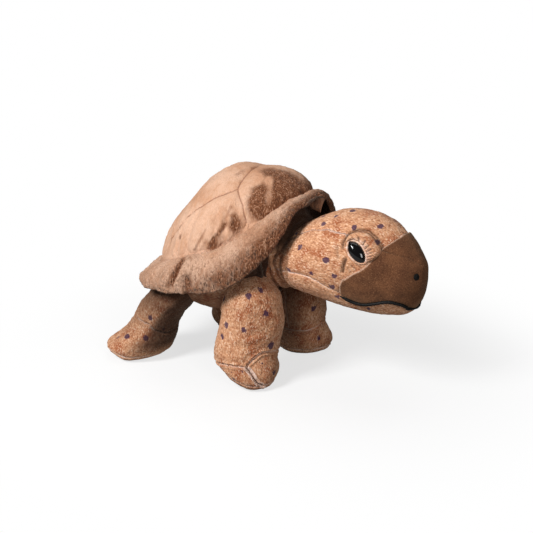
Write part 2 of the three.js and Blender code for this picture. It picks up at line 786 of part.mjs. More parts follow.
// Pieces of the brim: where each starts and ends, as shares of a turn from the front over the left.
const brimPartShares = [
  ["front", -0.105, 0.105],
  ["left", 0.105, 0.39],
  ["rear", 0.39, 0.61],
  ["right", 0.61, 0.895],
];
const BRIM_ROWS = 3;
const BRIM_COLUMNS = 30;
function addBrim() {
  const seam = (3 * SEAM_GAP) / (SHELL_LENGTH * Math.PI);
  const trunk = clearOf(trunkForm);
  const layer = (from, to, columns, depth) =>
    toSolid(
      slab(BRIM_ROWS, columns, (out, along, under) => {
        const turn = THREE.MathUtils.lerp(from + seam / 2, to - seam / 2, along);
        return brimPoint(out, turn, depth + under * CLOTH);
      }),
    ).subtract(trunk);
  for (const [name, from, to] of brimPartShares) {
    const columns = Math.round((to - from) * BRIM_COLUMNS);
    addPiece(`brim_${name}`, layer(from, to, columns, 0), "shell");
    addPiece(`brim_lining_${name}`, layer(from, to, columns, CLOTH + SEAM_GAP), "shell");
  }
}

function addNeck() {
  const reach = NECK_RADIUS + OVERRUN;
  const low = [NECK_FORWARD - NECK_SHOW, -reach, NECK_LIFT - reach];
  const high = [NECK_FORWARD + NECK_SHOW, reach, NECK_LIFT + reach];
  addPiece("neck_filling", stuffingOf(neckBall), "stuffing");
  addPiece("neck_sleeve", skinOf(neckBall).intersect(box(low, high)), "print");
}

const EYE_COLUMNS = 12;
const SHANK_COLUMNS = 10;
const EYE_ROWS = 5;
// An eye seen along +Z: an almond dome on a round shank, with its back at the origin.
function eyeForm(grow) {
  const radius = EYE_WIDTH / 2 + grow;
  const profile = [
    [0, -CLOTH / 2 - grow],
    [radius, -CLOTH / 2 - grow],
    ...Array.from({ length: EYE_ROWS + 1 }, (_, i) => {
      const angle = (i / EYE_ROWS) * (Math.PI / 2);
      return [i === EYE_ROWS ? 0 : radius * Math.cos(angle), (EYE_DOME + grow) * Math.sin(angle)];
    }),
  ];
  const dome = new THREE.LatheGeometry(profile.map(([x, y]) => new THREE.Vector2(x, y)), EYE_COLUMNS);
  const shank = new THREE.CylinderGeometry(
    SHANK_WIDTH / 2 + grow,
    SHANK_WIDTH / 2 + grow,
    SHANK_LENGTH + grow,
    SHANK_COLUMNS,
  );
  return toSolid(
    dome.rotateX(Math.PI / 2).scale((EYE_LENGTH + grow * 2) / (EYE_WIDTH + grow * 2), 1, 1),
  ).add(toSolid(shank.rotateX(Math.PI / 2).translate(0, 0, -SHANK_LENGTH / 2)));
}
function washerForm(grow) {
  const [inner, outer] = [SHANK_WIDTH / 2 + SHANK_CLEARANCE - grow, WASHER_WIDTH / 2 + grow];
  const back = -CLOTH - WASHER_DEPTH - WASHER_THICKNESS - grow;
  const front = -CLOTH - WASHER_DEPTH + grow;
  const ring = [
    [inner, back],
    [outer, back],
    [outer, front],
    [inner, front],
    [inner, back],
  ];
  const washer = new THREE.LatheGeometry(ring.map(([x, y]) => new THREE.Vector2(x, y)), EYE_COLUMNS);
  return toSolid(washer.rotateX(Math.PI / 2));
}

// Stands a solid on the side of the head, its +Z out of the cloth and its +X along a tilt.
function placed(solid, shares, side, tilt) {
  const { place, out } = headSide(shares, side);
  const long = new THREE.Vector3(Math.cos(tilt * DEGREE), 0, Math.sin(tilt * DEGREE));
  long.addScaledVector(out, -long.dot(out)).normalize();
  const short = out.clone().cross(long);
  const matrix = new THREE.Matrix4().makeBasis(long, short, out).setPosition(place);
  return toSolid(toGeometry(solid).applyMatrix4(matrix));
}

function addHead() {
  const wide = HEAD_WIDTH;
  const behind = NECK_FORWARD + NECK_GAP;
  const rear = box([HEAD_REAR - OVERRUN, -wide, 0], [behind, wide, SHELL_TOP + OVERRUN]);
  const neck = neckRoom.add(rear);
  const skin = skinOf(headForm).subtract(neck);
  const beak = [
    ...beakEdgeShares.map(onHead),
    ...mouthShares.slice(1).map(onHead),
    [HEAD_REAR + HEAD_LENGTH, HEAD_BOTTOM],
    [HEAD_REAR + HEAD_LENGTH + OVERRUN, HEAD_BOTTOM],
    [HEAD_REAR + HEAD_LENGTH + OVERRUN, HEAD_BOTTOM + HEAD_HEIGHT + OVERRUN],
  ];
  const tip = onHead(mouthShares.at(-1));
  const chin = [
    ...chinSeamShares.map(onHead),
    ...mouthShares.slice(1).map(onHead),
    [HEAD_REAR + HEAD_LENGTH, HEAD_BOTTOM],
    [tip[0], HEAD_BOTTOM - OVERRUN],
    [HEAD_REAR - OVERRUN, HEAD_BOTTOM - OVERRUN],
  ];
  const strip = stripShares.map(([x, y]) => [HEAD_REAR + x * HEAD_LENGTH, y * HEAD_WIDTH]);
  const stripOutline = [...strip, ...strip.map(([x, y]) => [x, -y]).reverse()];
  const middle = HEAD_BOTTOM + HEAD_HEIGHT / 2;
  const top = HEAD_BOTTOM + HEAD_HEIGHT + OVERRUN;
  const stripBlock = planBlock(stripOutline, middle, top);
  const stripClear = planBlock(widened(stripOutline, SEAM_GAP), middle, top);
  const beakBlock = sideBlock(beak, -wide, wide);
  const beakClear = sideBlock(widened(beak, SEAM_GAP), -wide, wide);
  const chinBlock = sideBlock(chin, -wide, wide);
  const chinClear = sideBlock(widened(chin, SEAM_GAP), -wide, wide);

  const sides = [-1, 1];
  const eyes = sides.map((side) => placed(eyeForm(0), eyeShares, side, EYE_TILT));
  const eyeHoles = sides.map((side) => placed(eyeForm(SEAM_GAP), eyeShares, side, EYE_TILT));
  const holes = joined(eyeHoles);
  const washers = sides.map((side) => placed(washerForm(0), eyeShares, side, 0));
  const pockets = joined(sides.map((side) => placed(washerForm(SEAM_GAP), eyeShares, side, 0)));

  const stuffing = stuffingOf(coarseHeadForm);
  addPiece("head_filling", stuffing.subtract(neck).subtract(holes).subtract(pockets), "stuffing");
  const cheeks = skin.subtract(beakClear).subtract(chinClear).subtract(stripClear).subtract(holes);
  const felt = skin.intersect(beakBlock).subtract(stripClear);
  addPiece("forehead_strip", skin.intersect(stripBlock).subtract(beakClear).subtract(holes), "print");
  addPiece("chin_panel", skin.intersect(chinBlock).subtract(beakClear), "print");
  addPiece("beak_bridge", skin.intersect(beakBlock).intersect(stripBlock), "felt");

  const lids = toSolid(grown(headForm, CLOTH + SEAM_GAP)).subtract(clearOf(headForm)).subtract(holes);
  const lidOutline = eyelidShares.map(onHead);
  const lid = lids.intersect(sideBlock(lidOutline, -wide, wide));
  sides.forEach((side, i) => {
    const hand = side > 0 ? "left" : "right";
    const half = halfSpace(side);
    addPiece(`head_side_${hand}`, cheeks.intersect(half), "print");
    addPiece(`beak_side_${hand}`, felt.intersect(half), "felt");
    addPiece(`upper_eyelid_${hand}`, lid.intersect(half), "print");
    addPiece(`eye_${hand}`, eyes[i], "gloss", 0.08);
    addPiece(`eye_washer_${hand}`, washers[i], "plastic", 0.4);
    addPiece(`nostril_${hand}`, placed(nostril(), nostrilShares, side, 0), "cord");
  });
  addPiece("mouth_stitching", mouthCord(), "cord");
}

const NOSTRIL_COLUMNS = 10;
const NOSTRIL_ROWS = 3;
function nostril() {
  const radius = NOSTRIL_WIDTH / 2;
  const profile = [
    [0, SEAM_GAP],
    ...Array.from({ length: NOSTRIL_ROWS + 1 }, (_, i) => {
      const angle = (i / NOSTRIL_ROWS) * (Math.PI / 2);
      const wide = i === NOSTRIL_ROWS ? 0 : radius * Math.cos(angle);
      return [wide, SEAM_GAP + NOSTRIL_THICKNESS * Math.sin(angle)];
    }),
  ];
  const dot = new THREE.LatheGeometry(profile.map(([x, y]) => new THREE.Vector2(x, y)), NOSTRIL_COLUMNS);
  return toSolid(dot.rotateX(Math.PI / 2));
}

const CORD_COLUMNS = 6;
const CORD_ROWS = 24;
// A thick thread laid along the mouth, round the front from one corner to the other.
function mouthCord() {
  const lift = MOUTH_CORD / 2 + SEAM_GAP;
  const oneSide = (side) =>
    mouthShares.map((shares) => {
      const { place, out } = headSide(shares, side);
      return place.addScaledVector(out, lift);
    });
  const path = new THREE.CatmullRomCurve3([...oneSide(-1), ...oneSide(1).reverse()], false, "centripetal");
  const section = new THREE.Shape(
    Array.from({ length: CORD_COLUMNS }, (_, i) => {
      const angle = (i / CORD_COLUMNS) * 2 * Math.PI;
      return new THREE.Vector2(Math.cos(angle), Math.sin(angle)).multiplyScalar(MOUTH_CORD / 2);
    }),
  );
  const options = { steps: CORD_ROWS, extrudePath: path, bevelEnabled: false };
  return toSolid(new THREE.ExtrudeGeometry(section, options));
}

function addLeg(leg) {
  const skin = skinOf(legForm(leg));
  const wide = SHELL_LENGTH + OVERRUN;
  const between = (low, high) => box([-wide, -wide, low], [wide, wide, high]);
  const edge = SEAM_GAP / 2;
  addPiece(`${leg.name}_leg_filling`, stuffingOf(slimLegForm(leg)), "stuffing");
  addPiece(`${leg.name}_sleeve`, skin.intersect(between(ANKLE_SEAM + edge, SHELL_TOP)), "print");
  addPiece(`${leg.name}_foot`, skin.intersect(between(SOLE_SEAM + edge, ANKLE_SEAM - edge)), "print");
  addPiece(`${leg.name}_sole`, skin.intersect(between(-OVERRUN, SOLE_SEAM - edge)), "print");
}

function addTail() {
  addPiece("tail_filling", stuffingOf(tailForm), "stuffing");
  const inside = box([TAIL_FORWARD, -OVERRUN, -OVERRUN], [SHELL_LENGTH, OVERRUN, SHELL_TOP]);
  addPiece("tail_skin", skinOf(tailForm).subtract(inside), "print");
}

addTorso();
addBrim();
addNeck();
addHead();
legs.forEach(addLeg);
addTail();

export default turtle;
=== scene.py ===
import itertools
import math

import bpy
import numpy as np
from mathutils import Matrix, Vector


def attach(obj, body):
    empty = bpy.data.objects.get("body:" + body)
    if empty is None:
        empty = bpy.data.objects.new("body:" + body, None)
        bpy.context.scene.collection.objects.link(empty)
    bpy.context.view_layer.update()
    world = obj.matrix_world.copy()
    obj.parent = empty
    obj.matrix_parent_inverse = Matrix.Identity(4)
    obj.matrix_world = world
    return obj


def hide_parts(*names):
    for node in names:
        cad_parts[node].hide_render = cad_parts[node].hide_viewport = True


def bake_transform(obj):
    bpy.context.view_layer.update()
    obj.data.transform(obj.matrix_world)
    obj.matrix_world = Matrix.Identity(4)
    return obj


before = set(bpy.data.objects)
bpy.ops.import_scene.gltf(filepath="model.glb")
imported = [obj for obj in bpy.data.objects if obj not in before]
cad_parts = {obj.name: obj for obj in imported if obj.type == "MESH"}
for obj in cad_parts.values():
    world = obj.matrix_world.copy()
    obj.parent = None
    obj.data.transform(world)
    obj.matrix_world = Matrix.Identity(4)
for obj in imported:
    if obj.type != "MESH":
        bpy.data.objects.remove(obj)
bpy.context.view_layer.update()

# The belly: two panels of printed plush, sewn along the middle and round the dome's edge, over loose
# fibre. The same cloth covers head, legs and tail, so its finish and the tools that lay out a sewn skin
# start here. Lengths are millimetres, and places along X are counted from the middle of the feet.
MM = 0.001
MIDDLE_FORWARD = 56.0
SEEN_FROM = np.array([0.512, -0.788, 0.342])

SHELL_LENGTH = 134.0
SHELL_WIDTH = 124.0
SHELL_TOP = 177.0
SHELL_FORWARD = 13.0
APEX_FORWARD = 6.0
BELLY_BOTTOM = 47.0
CREASE_HEIGHT_SHARES = [
    (0, 0.89), (0.08, 0.885), (0.16, 0.845), (0.25, 0.78), (0.31, 0.732),
    (0.38, 0.675), (0.5, 0.622), (0.65, 0.555), (0.8, 0.52), (1, 0.51),
]
DOME_FULLNESS = (2.2, 1.5)
BOWL_FULLNESS = 2.2
# How far the belly's cloth lies under the dome, and how far the sewn edge sags at the back.
UNDER_DOME = 9.0
REAR_SAG = 3.5
# Rows and columns of points in the belly's skin.
BELLY_GRID = (121, 240)
# A seam's form: depth and width of its groove, then how far it pulls the cloth in and how wide.
BELLY_RELIEF = (0.9, 0.8, 0.8, 5)
# The distance given to points with no seam or dot near them.
FAR = 9.0
# The axes seen from the side.
SIDE_VIEW = [0, 2]
# Dots that the camera doesn't see: places tried for each, and least and greatest radius.
DOT_TRIES = 40
DOT_RADII = (1.2, 2.3)


def value_at(rows, place, column):
    """Smooth value of one column of a table: a cubic through each pair of rows, whose slope at a row is
    that of the line between the rows before and after it."""
    rows = np.array(sorted(rows), float)
    x, y = rows[:, 0], rows[:, column]
    ends = np.arange(len(x))
    before, after = np.maximum(ends - 1, 0), np.minimum(ends + 1, len(x) - 1)
    slope = (y[after] - y[before]) / (x[after] - x[before])
    i = np.clip(np.searchsorted(x, place, side="right") - 1, 0, len(x) - 2)
    step = x[i + 1] - x[i]
    s = np.clip((place - x[i]) / step, 0, 1)
    blend = s * s * (3 - 2 * s)
    bend = step * s * (1 - s) * (slope[i] * (1 - s) - slope[i + 1] * s)
    return y[i] * (1 - blend) + y[i + 1] * blend + bend


def mix(a, b, share):
    """The value that lies at a share of the way from a to b."""
    return a + (b - a) * share


def fade(value, start, end):
    """0 before start, 1 past end, and the curve 3t²-2t³ between them."""
    t = np.clip((value - start) / (end - start), 0, 1)
    return t * t * (3 - 2 * t)


def bell(value, middle, width):
    """A bell curve: e to the power minus the square of the distance in widths."""
    return np.exp(-(((value - middle) / width) ** 2))


def away_from(points, place):
    """Distance from each point to a place."""
    return np.linalg.norm(points - place, axis=1)


def from_front(turn):
    """The share of the way from front to back on either side: 0, 1, 0 over a full turn."""
    return np.where(turn > 0.5, 2 - turn * 2, turn * 2)


def bands(rows, columns):
    """For rows that each close on themselves, the numbers of the points of all rows but the last, and of
    their neighbours further round."""
    here = np.arange(rows - 1)[:, None] * columns + np.arange(columns)
    return here, np.roll(here, -1, axis=1)


def closed_skin(rows, columns, point_at):
    """A surface with a pole at its first and last row: its points, its faces, and each point's own value
    of the rows and share of a turn. point_at takes those two and gives the points. rows is how many there
    are from 0 to 1, or their values."""
    rows = np.linspace(0, 1, rows) if np.isscalar(rows) else rows
    down = np.repeat(rows[1:-1], columns)
    turn = np.tile(np.arange(columns) / columns, len(rows) - 2)
    points = np.vstack([point_at(down, turn), point_at(np.array([rows[0], rows[-1]]), np.zeros(2))])
    here, after = bands(len(rows) - 2, columns)
    quads = np.stack([here, here + columns, after + columns, after], -1).reshape(-1, 4)
    ring = np.arange(columns)
    ahead = np.roll(ring, -1)
    last = (len(rows) - 3) * columns
    top, bottom = (np.full(columns, len(points) - pole) for pole in (2, 1))
    fans = np.vstack([np.stack([top, ring, ahead], -1), np.stack([last + ring, bottom, last + ahead], -1)])
    return points, [quads, fans], np.append(down, [rows[0], rows[-1]]), np.append(turn, [0, 0])


def normals_of(points, faces):
    """Outward direction at each point: the sum of the faces round it, each by its area, made one long."""
    total = np.zeros_like(points)
    for group in faces:
        corners = points[group]
        across = np.cross(corners[:, 2] - corners[:, 0], corners[:, -1] - corners[:, 1])
        for corner in group.T:
            for axis in range(3):
                total[:, axis] += np.bincount(corner, across[:, axis], len(points))
    return total / np.maximum(np.linalg.norm(total, axis=1, keepdims=True), 1e-9)


LATTICE = np.random.default_rng(11).uniform(-1, 1, 4096)


def noise(points, size, seed=0):
    """Smooth noise from -1 to 1: a random value at each corner of a cubic lattice of that spacing, blended
    across the cell by 3t²-2t³ along each axis."""
    place = points / size + seed * 17.3
    cell = np.floor(place).astype(np.int64)
    t = place - cell
    t = t * t * (3 - 2 * t)
    total = 0
    for corner in itertools.product((0, 1), repeat=3):
        x, y, z = (cell + corner).T
        key = ((x * 73856093) ^ (y * 19349663) ^ (z * 83492791)) & 4095
        total = total + LATTICE[key] * np.prod(np.where(corner, t, 1 - t), axis=1)
    return total


def spans(path):
    """The straight spans of a path, each as its two ends."""
    places = np.array(path, float)
    return zip(places[:-1], places[1:])


def offset_from(points, start, end):
    """The way to each point from the nearest place of a straight span."""
    along = end - start
    share = np.clip((points - start) @ along / max(along @ along, 1e-9), 0, 1)
    return points - start - share[:, None] * along


def seam_distance(points, normals, path):
    """Distance over the cloth from each point to a seam drawn in the side view: the distance in that view,
    divided by the sine of the angle between the cloth and the way to the seam."""
    flat = points[:, SIDE_VIEW]
    best = np.full(len(points), np.inf)
    way = np.zeros_like(flat)
    for start, end in spans(path):
        offset = offset_from(flat, start, end)
        distance = np.linalg.norm(offset, axis=1)
        nearer = distance < best
        best = np.where(nearer, distance, best)
        way = np.where(nearer[:, None], offset / np.maximum(distance, 1e-6)[:, None], way)
    lean = np.sum(normals[:, SIDE_VIEW] * way, axis=1)
    return best / np.sqrt(np.clip(1 - lean**2, 0.04, 1))


def path_distance(points, path):
    """Straight distance from each point to the nearest place of a line through the places of a path."""
    best = np.full(len(points), np.inf)
    for start, end in spans(path):
        best = np.minimum(best, np.linalg.norm(offset_from(points, start, end), axis=1))
    return best


def seam_relief(distance, depth, width, pull, reach):
    """How far cloth sinks near a seam: a narrow groove with a bell section, and a wide pull that fades by
    a power of e."""
    return -depth * bell(distance, 0, width) - pull * np.exp(-distance / reach)


def pile(points, coarse, fine):
    """Height of the clumps of a brushed pile: two sizes of noise."""
    return coarse * noise(points, 4.2, 1) + fine * noise(points, 1.9, 2)


def add_dots(points, normals, seen, count, spacing, seed):
    """Distance from each point to the edge of the nearest printed dot. Some are given as place and radius;
    the others are drawn at random on the side away from the camera and kept apart."""
    random = np.random.default_rng(seed)
    dots = [np.array(dot, float) for dot in seen]
    hidden = np.flatnonzero(normals @ SEEN_FROM < -0.05)
    for pick in random.choice(hidden, min(DOT_TRIES * count, len(hidden)), replace=False):
        if len(dots) >= len(seen) + count:
            break
        if all(np.linalg.norm(points[pick] - dot[:3]) > spacing for dot in dots):
            dots.append(np.append(points[pick], random.uniform(*DOT_RADII)))
    best = np.full(len(points), FAR)
    for dot in dots:
        best = np.minimum(best, away_from(points, dot[:3]) - dot[3] - 0.4)
    return best + 0.8 * noise(points, 1.5, 5)


def make_piece(name, points, faces, finish, **fields):
    """A smooth mesh from points in millimetres. Each field gives a number for every point, or one for all."""
    mesh = bpy.data.meshes.new(name)
    place = (points - (MIDDLE_FORWARD, 0, 0)) * MM
    mesh.from_pydata(place, [], [face for group in faces for face in group.tolist()])
    mesh.polygons.foreach_set("use_smooth", np.ones(len(mesh.polygons), bool))
    for field, values in fields.items():
        layer = mesh.attributes.new(field, "FLOAT", "POINT")
        values = np.broadcast_to(values, len(points))
        layer.data.foreach_set("value", np.ascontiguousarray(values, dtype=np.float32))
    mesh.materials.append(finish)
    mesh.update()
    piece = bpy.data.objects.new(name, mesh)
    bpy.context.scene.collection.objects.link(piece)
    return piece


def paint(red, green, blue):
    """A screen colour from 0 to 255 as light: below 0.04 a straight line, above it a power of 2.4."""
    shares = [value / 255 for value in (red, green, blue)]
    return [c / 12.92 if c <= 0.04045 else ((c + 0.055) / 1.055) ** 2.4 for c in shares] + [1]


class Value:
    """A number that varies over a surface. Sums and products of values become Math nodes."""

    def __init__(self, finish, socket):
        self.finish, self.socket = finish, socket

    def maths(self, operation, first, second=0.0):
        return self.finish.node("Math", {0: first, 1: second}, operation=operation)

    def __add__(self, other):
        return self.maths("ADD", self, other)

    def __sub__(self, other):
        return self.maths("SUBTRACT", self, other)

    def __rsub__(self, other):
        return self.maths("SUBTRACT", other, self)

    def __mul__(self, other):
        return self.maths("MULTIPLY", self, other)

    __radd__, __rmul__ = __add__, __mul__

    def ramp(self, start, end):
        """0 at start, 1 at end, smooth between; start may be the greater."""
        sockets = {0: self, 1: start, 2: end}
        return self.finish.node("MapRange", sockets, interpolation_type="SMOOTHSTEP")


class Finish:
    """A material made of nodes."""

    def __init__(self, name):
        self.material = bpy.data.materials.new(name)
        self.material.use_nodes = True
        self.tree = self.material.node_tree
        self.tree.nodes.clear()
        self.place = self.node("TexCoord", out=3)

    def node(self, kind, sockets=(), out=0, **settings):
        """A node of a kind, with its settings and then its sockets' values or links. Gives one output."""
        node = self.tree.nodes.new("ShaderNode" + kind)
        for key, value in settings.items():
            setattr(node, key, value)
        for key, value in dict(sockets).items():
            if isinstance(value, Value):
                self.tree.links.new(value.socket, node.inputs[key])
            else:
                node.inputs[key].default_value = value
        return Value(self, node.outputs[out]) if node.outputs else None

    def noise(self, size, stretch=(1, 1, 1), detail=2.0, seed=0.0):
        """Noise round 0, from about -0.5 to 0.5, with spots of a size in millimetres, stretched per axis."""
        scale = [1 / (MM * size * along) for along in stretch]
        place = self.node("Mapping", {"Vector": self.place, "Scale": scale, "Location": (seed, seed, seed)})
        return self.node("TexNoise", {"Vector": place, "Scale": 1.0, "Detail": detail}) - 0.5

    def field(self, name):
        return self.node("Attribute", attribute_name=name, out=2)

    def blend(self, share, first, second):
        return self.node("Mix", {0: share, 6: first, 7: second}, out=2, data_type="RGBA")

    def bump(self, height, distance):
        return self.node("Bump", {"Height": height, "Distance": distance * MM, "Strength": 1.0})

    def surface(self, **sockets):
        """Ends the material in one surface shader; underscores in the names stand for spaces."""
        named = {key.replace("_", " "): value for key, value in sockets.items()}
        shader = self.node("BsdfPrincipled", named)
        self.node("OutputMaterial", {"Surface": shader})
        return self.material


def printed_plush(name, stretch):
    """Short-pile plush: tan fibre over darker roots, printed with rust clouds and violet dots, worn pale
    along its seams, and darkened towards near black by the field of painted shade. stretch is the way the
    pile lies."""
    cloth = Finish(name)
    fibre = cloth.noise(1.1, stretch, detail=3.0)
    tuft = cloth.noise(3.2, stretch, detail=2.0, seed=3.0)
    cloud = cloth.noise(8.5, detail=3.0, seed=7.0) + 0.3 * tuft
    broad = cloth.noise(30.0, detail=1.0, seed=11.0)
    grain = fibre + 0.4 * tuft
    colour = cloth.blend((cloud + 0.6 * broad).ramp(-0.04, 0.26), paint(210, 154, 116), paint(170, 100, 64))
    colour = cloth.blend(grain.ramp(0.0, -0.2) * 0.7, colour, paint(138, 78, 50))
    colour = cloth.blend(grain.ramp(0.01, 0.2) * 0.7, colour, paint(248, 212, 182))
    dot = cloth.field("dot") + 3.2 * fibre
    colour = cloth.blend(dot.ramp(0.45, -0.45) * 0.86, colour, paint(58, 38, 72))
    seam = cloth.field("seam")
    patchy = (cloud + tuft + 0.5 * fibre).ramp(-0.25, 0.1)
    worn = (seam + 3.4 * fibre + 1.6 * tuft).ramp(1.9, 0.9) * (patchy * 0.75 + 0.2)
    colour = cloth.blend(worn * 0.95, colour, paint(244, 216, 200))
    colour = cloth.blend((seam + 0.8 * fibre).ramp(0.7, 0.3) * 0.7, colour, paint(104, 58, 38))
    # Painted shade: the cloth goes towards near black where the field of painted shade says.
    colour = cloth.blend(cloth.field("shade"), colour, paint(36, 19, 13))
    return cloth.surface(
        Base_Color=colour, Roughness=0.9, Sheen_Weight=0.18, Sheen_Roughness=0.45,
        Sheen_Tint=paint(255, 225, 200), Specular_IOR_Level=0.15, Normal=cloth.bump(grain, 0.9),
    )


def trunk_point(down, turn):
    """The trunk as two rounded arches meeting at the dome's sewn edge. down runs 0, 0.5, 1 from top to
    edge to belly. With c and s the cosine and sine of the climb, each to the power 2 over the fullness,
    the plan is the shell's half length and width times c, and the height goes from the edge by s."""
    angle = turn * 2 * np.pi
    side = from_front(turn)
    edge = value_at(CREASE_HEIGHT_SHARES, side, 1) * SHELL_TOP
    upper = down < 0.5
    fullness = np.where(upper, mix(DOME_FULLNESS[0], DOME_FULLNESS[1], side), BOWL_FULLNESS)
    climb = np.abs(1 - down * 2) * np.pi / 2
    reach = np.clip(np.cos(climb), 0, 1) ** (2 / fullness)
    rise = np.sin(climb) ** (2 / fullness)
    return np.stack([
        SHELL_FORWARD + APEX_FORWARD * np.where(upper, 1 - reach, 0) + SHELL_LENGTH / 2 * reach * np.cos(angle),
        SHELL_WIDTH / 2 * reach * np.sin(angle),
        edge + (np.where(upper, SHELL_TOP, BELLY_BOTTOM) - edge) * rise,
    ], -1)


def sagged(points, down, turn):
    """Points lowered by REAR_SAG at the back of the dome's sewn edge, less and less away from it."""
    side = from_front(turn)
    points[:, 2] -= REAR_SAG * fade(side, 0.62, 0.85) * fade(np.minimum(down, 1 - down), 0.2, 0.5)
    return points


def belly_point(down, turn):
    """The trunk, with its sewn edge sagged at the back."""
    return sagged(trunk_point(down, turn), down, turn)


points, faces, down, turn = closed_skin(*BELLY_GRID, belly_point)
normals = normals_of(points, faces)
x, y, z = points.T
middle_seam = np.where(z < 120, np.abs(y), FAR)
height = seam_relief(middle_seam, *BELLY_RELIEF) + pile(points, 0.22, 0.18)
height -= UNDER_DOME * fade(down, 0.56, 0.44)
# Painted shade: near black in the hollow under the hood, and half dark over the underside.
painted_shade_under_hood = 0.93 * fade(x, 34, 48) * fade(z, 80, 92)
belly = make_piece(
    "belly_plush", points + normals * height[:, None], faces, printed_plush("printed plush, belly", (3.2, 1, 1)),
    seam=middle_seam, dot=add_dots(points, normals, [], count=26, spacing=19, seed=3),
    shade=np.maximum(painted_shade_under_hood, 0.5 * fade(down, 0.55, 0.7)),
)
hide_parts("body_filling", "belly_right", "belly_left")
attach(belly, "torso")

# The dome of the shell: four panels of long-napped plush, a front panel, a crown and two sides, sewn
# together and pulled tight over the fibre. Where the nap was brushed the other way it looks darker, and
# dark strokes down the side panel are painted shade of soft folds.
FRONT_SEAM_SHARES = [
    (0.164, 1.1), (0.164, 0.972), (0.174, 0.942), (0.257, 0.886), (0.306, 0.824), (0.331, 0.776), (0.36, 0.66),
]
SIDE_SEAM_SHARES = [
    (0.174, 0.942), (0.048, 0.898), (-0.082, 0.83), (-0.149, 0.788), (-0.3, 0.65), (-0.42, 0.4),
]
# Patches brushed the other way: x, y, z, radius, strength. Strokes of painted fold shade: path, width, strength.
DOME_PATCHES = [
    (50, -9, 174, 8, 0.7), (62, -6, 171, 10, 0.9), (72, -6, 166, 11, 1.1), (79, -10, 158, 11, 1.1),
    (56, -27, 167, 8, 0.9), (70, -20, 163, 10, 1.0), (76, -24, 155, 9, 1.0), (57, -36, 158, 8, 1.0),
    (63, -38, 152, 8, 1.0), (73, -32, 150, 8, 1.0), (82, 8, 156, 10, 0.9), (74, 20, 160, 10, 0.8),
    (43.4, -46.9, 147.4, 3.6, 0.7), (46.5, -47.5, 142.8, 4.6, 0.9), (49, -48.2, 138, 5, 0.8), (44, -50, 139, 4, 0.7),
    (28, -18, 173, 4, 0.5), (34, -4, 175.5, 4, 0.5), (30, -12, 174.5, 3, 0.4),
]
DOME_PAINTED_FOLD_SHADE = [
    ([(28.3, -45.4, 152.6), (30.2, -53.2, 139.8), (30.1, -58.2, 125.2)], 1.0, 0.5),
    ([(37.8, -44.1, 153.9), (36.7, -53.7, 138.3), (29, -59.4, 118.7)], 2.2, 0.85),
    ([(34.5, -46, 151), (33.5, -54.5, 136), (26, -59.5, 120)], 1.1, 0.55),
    ([(-7.9, -48.5, 132.2), (-7.4, -53.6, 120.3)], 1.7, 1.0), ([(6.5, -49, 141.6), (6.7, -57.9, 125.7)], 1.2, 0.6),
    ([(21.9, -57.2, 133.3), (13.5, -62.1, 116.6)], 1.6, 0.6), ([(24, -59, 126), (20, -61, 117)], 3.0, 0.45),
    ([(32, -58.3, 123.3), (41, -54.9, 126), (50, -52, 129.5)], 4.6, 0.55),
]
# Strokes left pale inside the brushed front: path, width, strength.
DOME_LIGHTS = [
    ([(57, -14, 172), (64, -24, 166), (67, -33, 153)], 3.2, 0.6), ([(46, -14, 173), (51, -22, 170)], 4.0, 0.5),
]
# Where the stuffing swells or leaves the dome flat: place, radius, millimetres.
DOME_PUSHES = [((-22, -18, 142), 26, -4.5), ((66, 8, 170), 26, 4.0), ((38, 5, 176), 24, 2.0)]
# Puckers where the panels are gathered into the dome's edge: turn, width in turn, depth.
DOME_PUCKERS = [
    (0.695, 0.006, 2.6), (0.729, 0.008, 1.8), (0.672, 0.009, 1.0), (0.768, 0.01, 1.4), (0.793, 0.009, 2.4),
    (0.815, 0.007, 2.2), (0.84, 0.01, 2.0), (0.648, 0.012, 1.0), (0.62, 0.01, 1.0), (0.575, 0.012, 1.1),
    (0.53, 0.012, 1.0), (0.488, 0.01, 1.1), (0.44, 0.013, 1.2), (0.39, 0.011, 1.6), (0.345, 0.01, 1.8),
    (0.3, 0.009, 2.2), (0.262, 0.009, 1.6), (0.215, 0.011, 1.8), (0.17, 0.012, 1.6),
]
# How far the dome's hidden inner skin is drawn in, as a share of the way to the shell's middle.
LINING_DRAWN = 0.15
DOME_ROWS, INNER_ROWS, DOME_COLUMNS = 170, 12, 480
DOME_RELIEF = (0.7, 1.1, 2.6, 9)


def dome_point(down, turn):
    """The upper arch of the trunk from 0 to 0.5, and past 0.5 the same arch back up inside it, drawn in
    towards the middle of the shell."""
    outer = trunk_point(np.minimum(down, 0.4999), turn)
    inner = trunk_point(np.minimum(1 - down, 0.4999), turn)
    middle = np.array([SHELL_FORWARD, 0, SHELL_TOP / 2])
    drawn = fade(down, 0.5, 0.7)[:, None] * LINING_DRAWN
    return sagged(np.where((down > 0.5)[:, None], middle + (inner - middle) * (1 - drawn), outer), down, turn)


def on_shell(shares):
    """Places in the side view from shares of the shell's length and of its top's height."""
    return [(SHELL_FORWARD + x * SHELL_LENGTH, z * SHELL_TOP) for x, z in shares]


def stroked(points, strokes):
    """The sum over strokes of the strength times a bell of the distance to the path."""
    return sum(strength * bell(path_distance(points, path), 0, width) for path, width, strength in strokes)


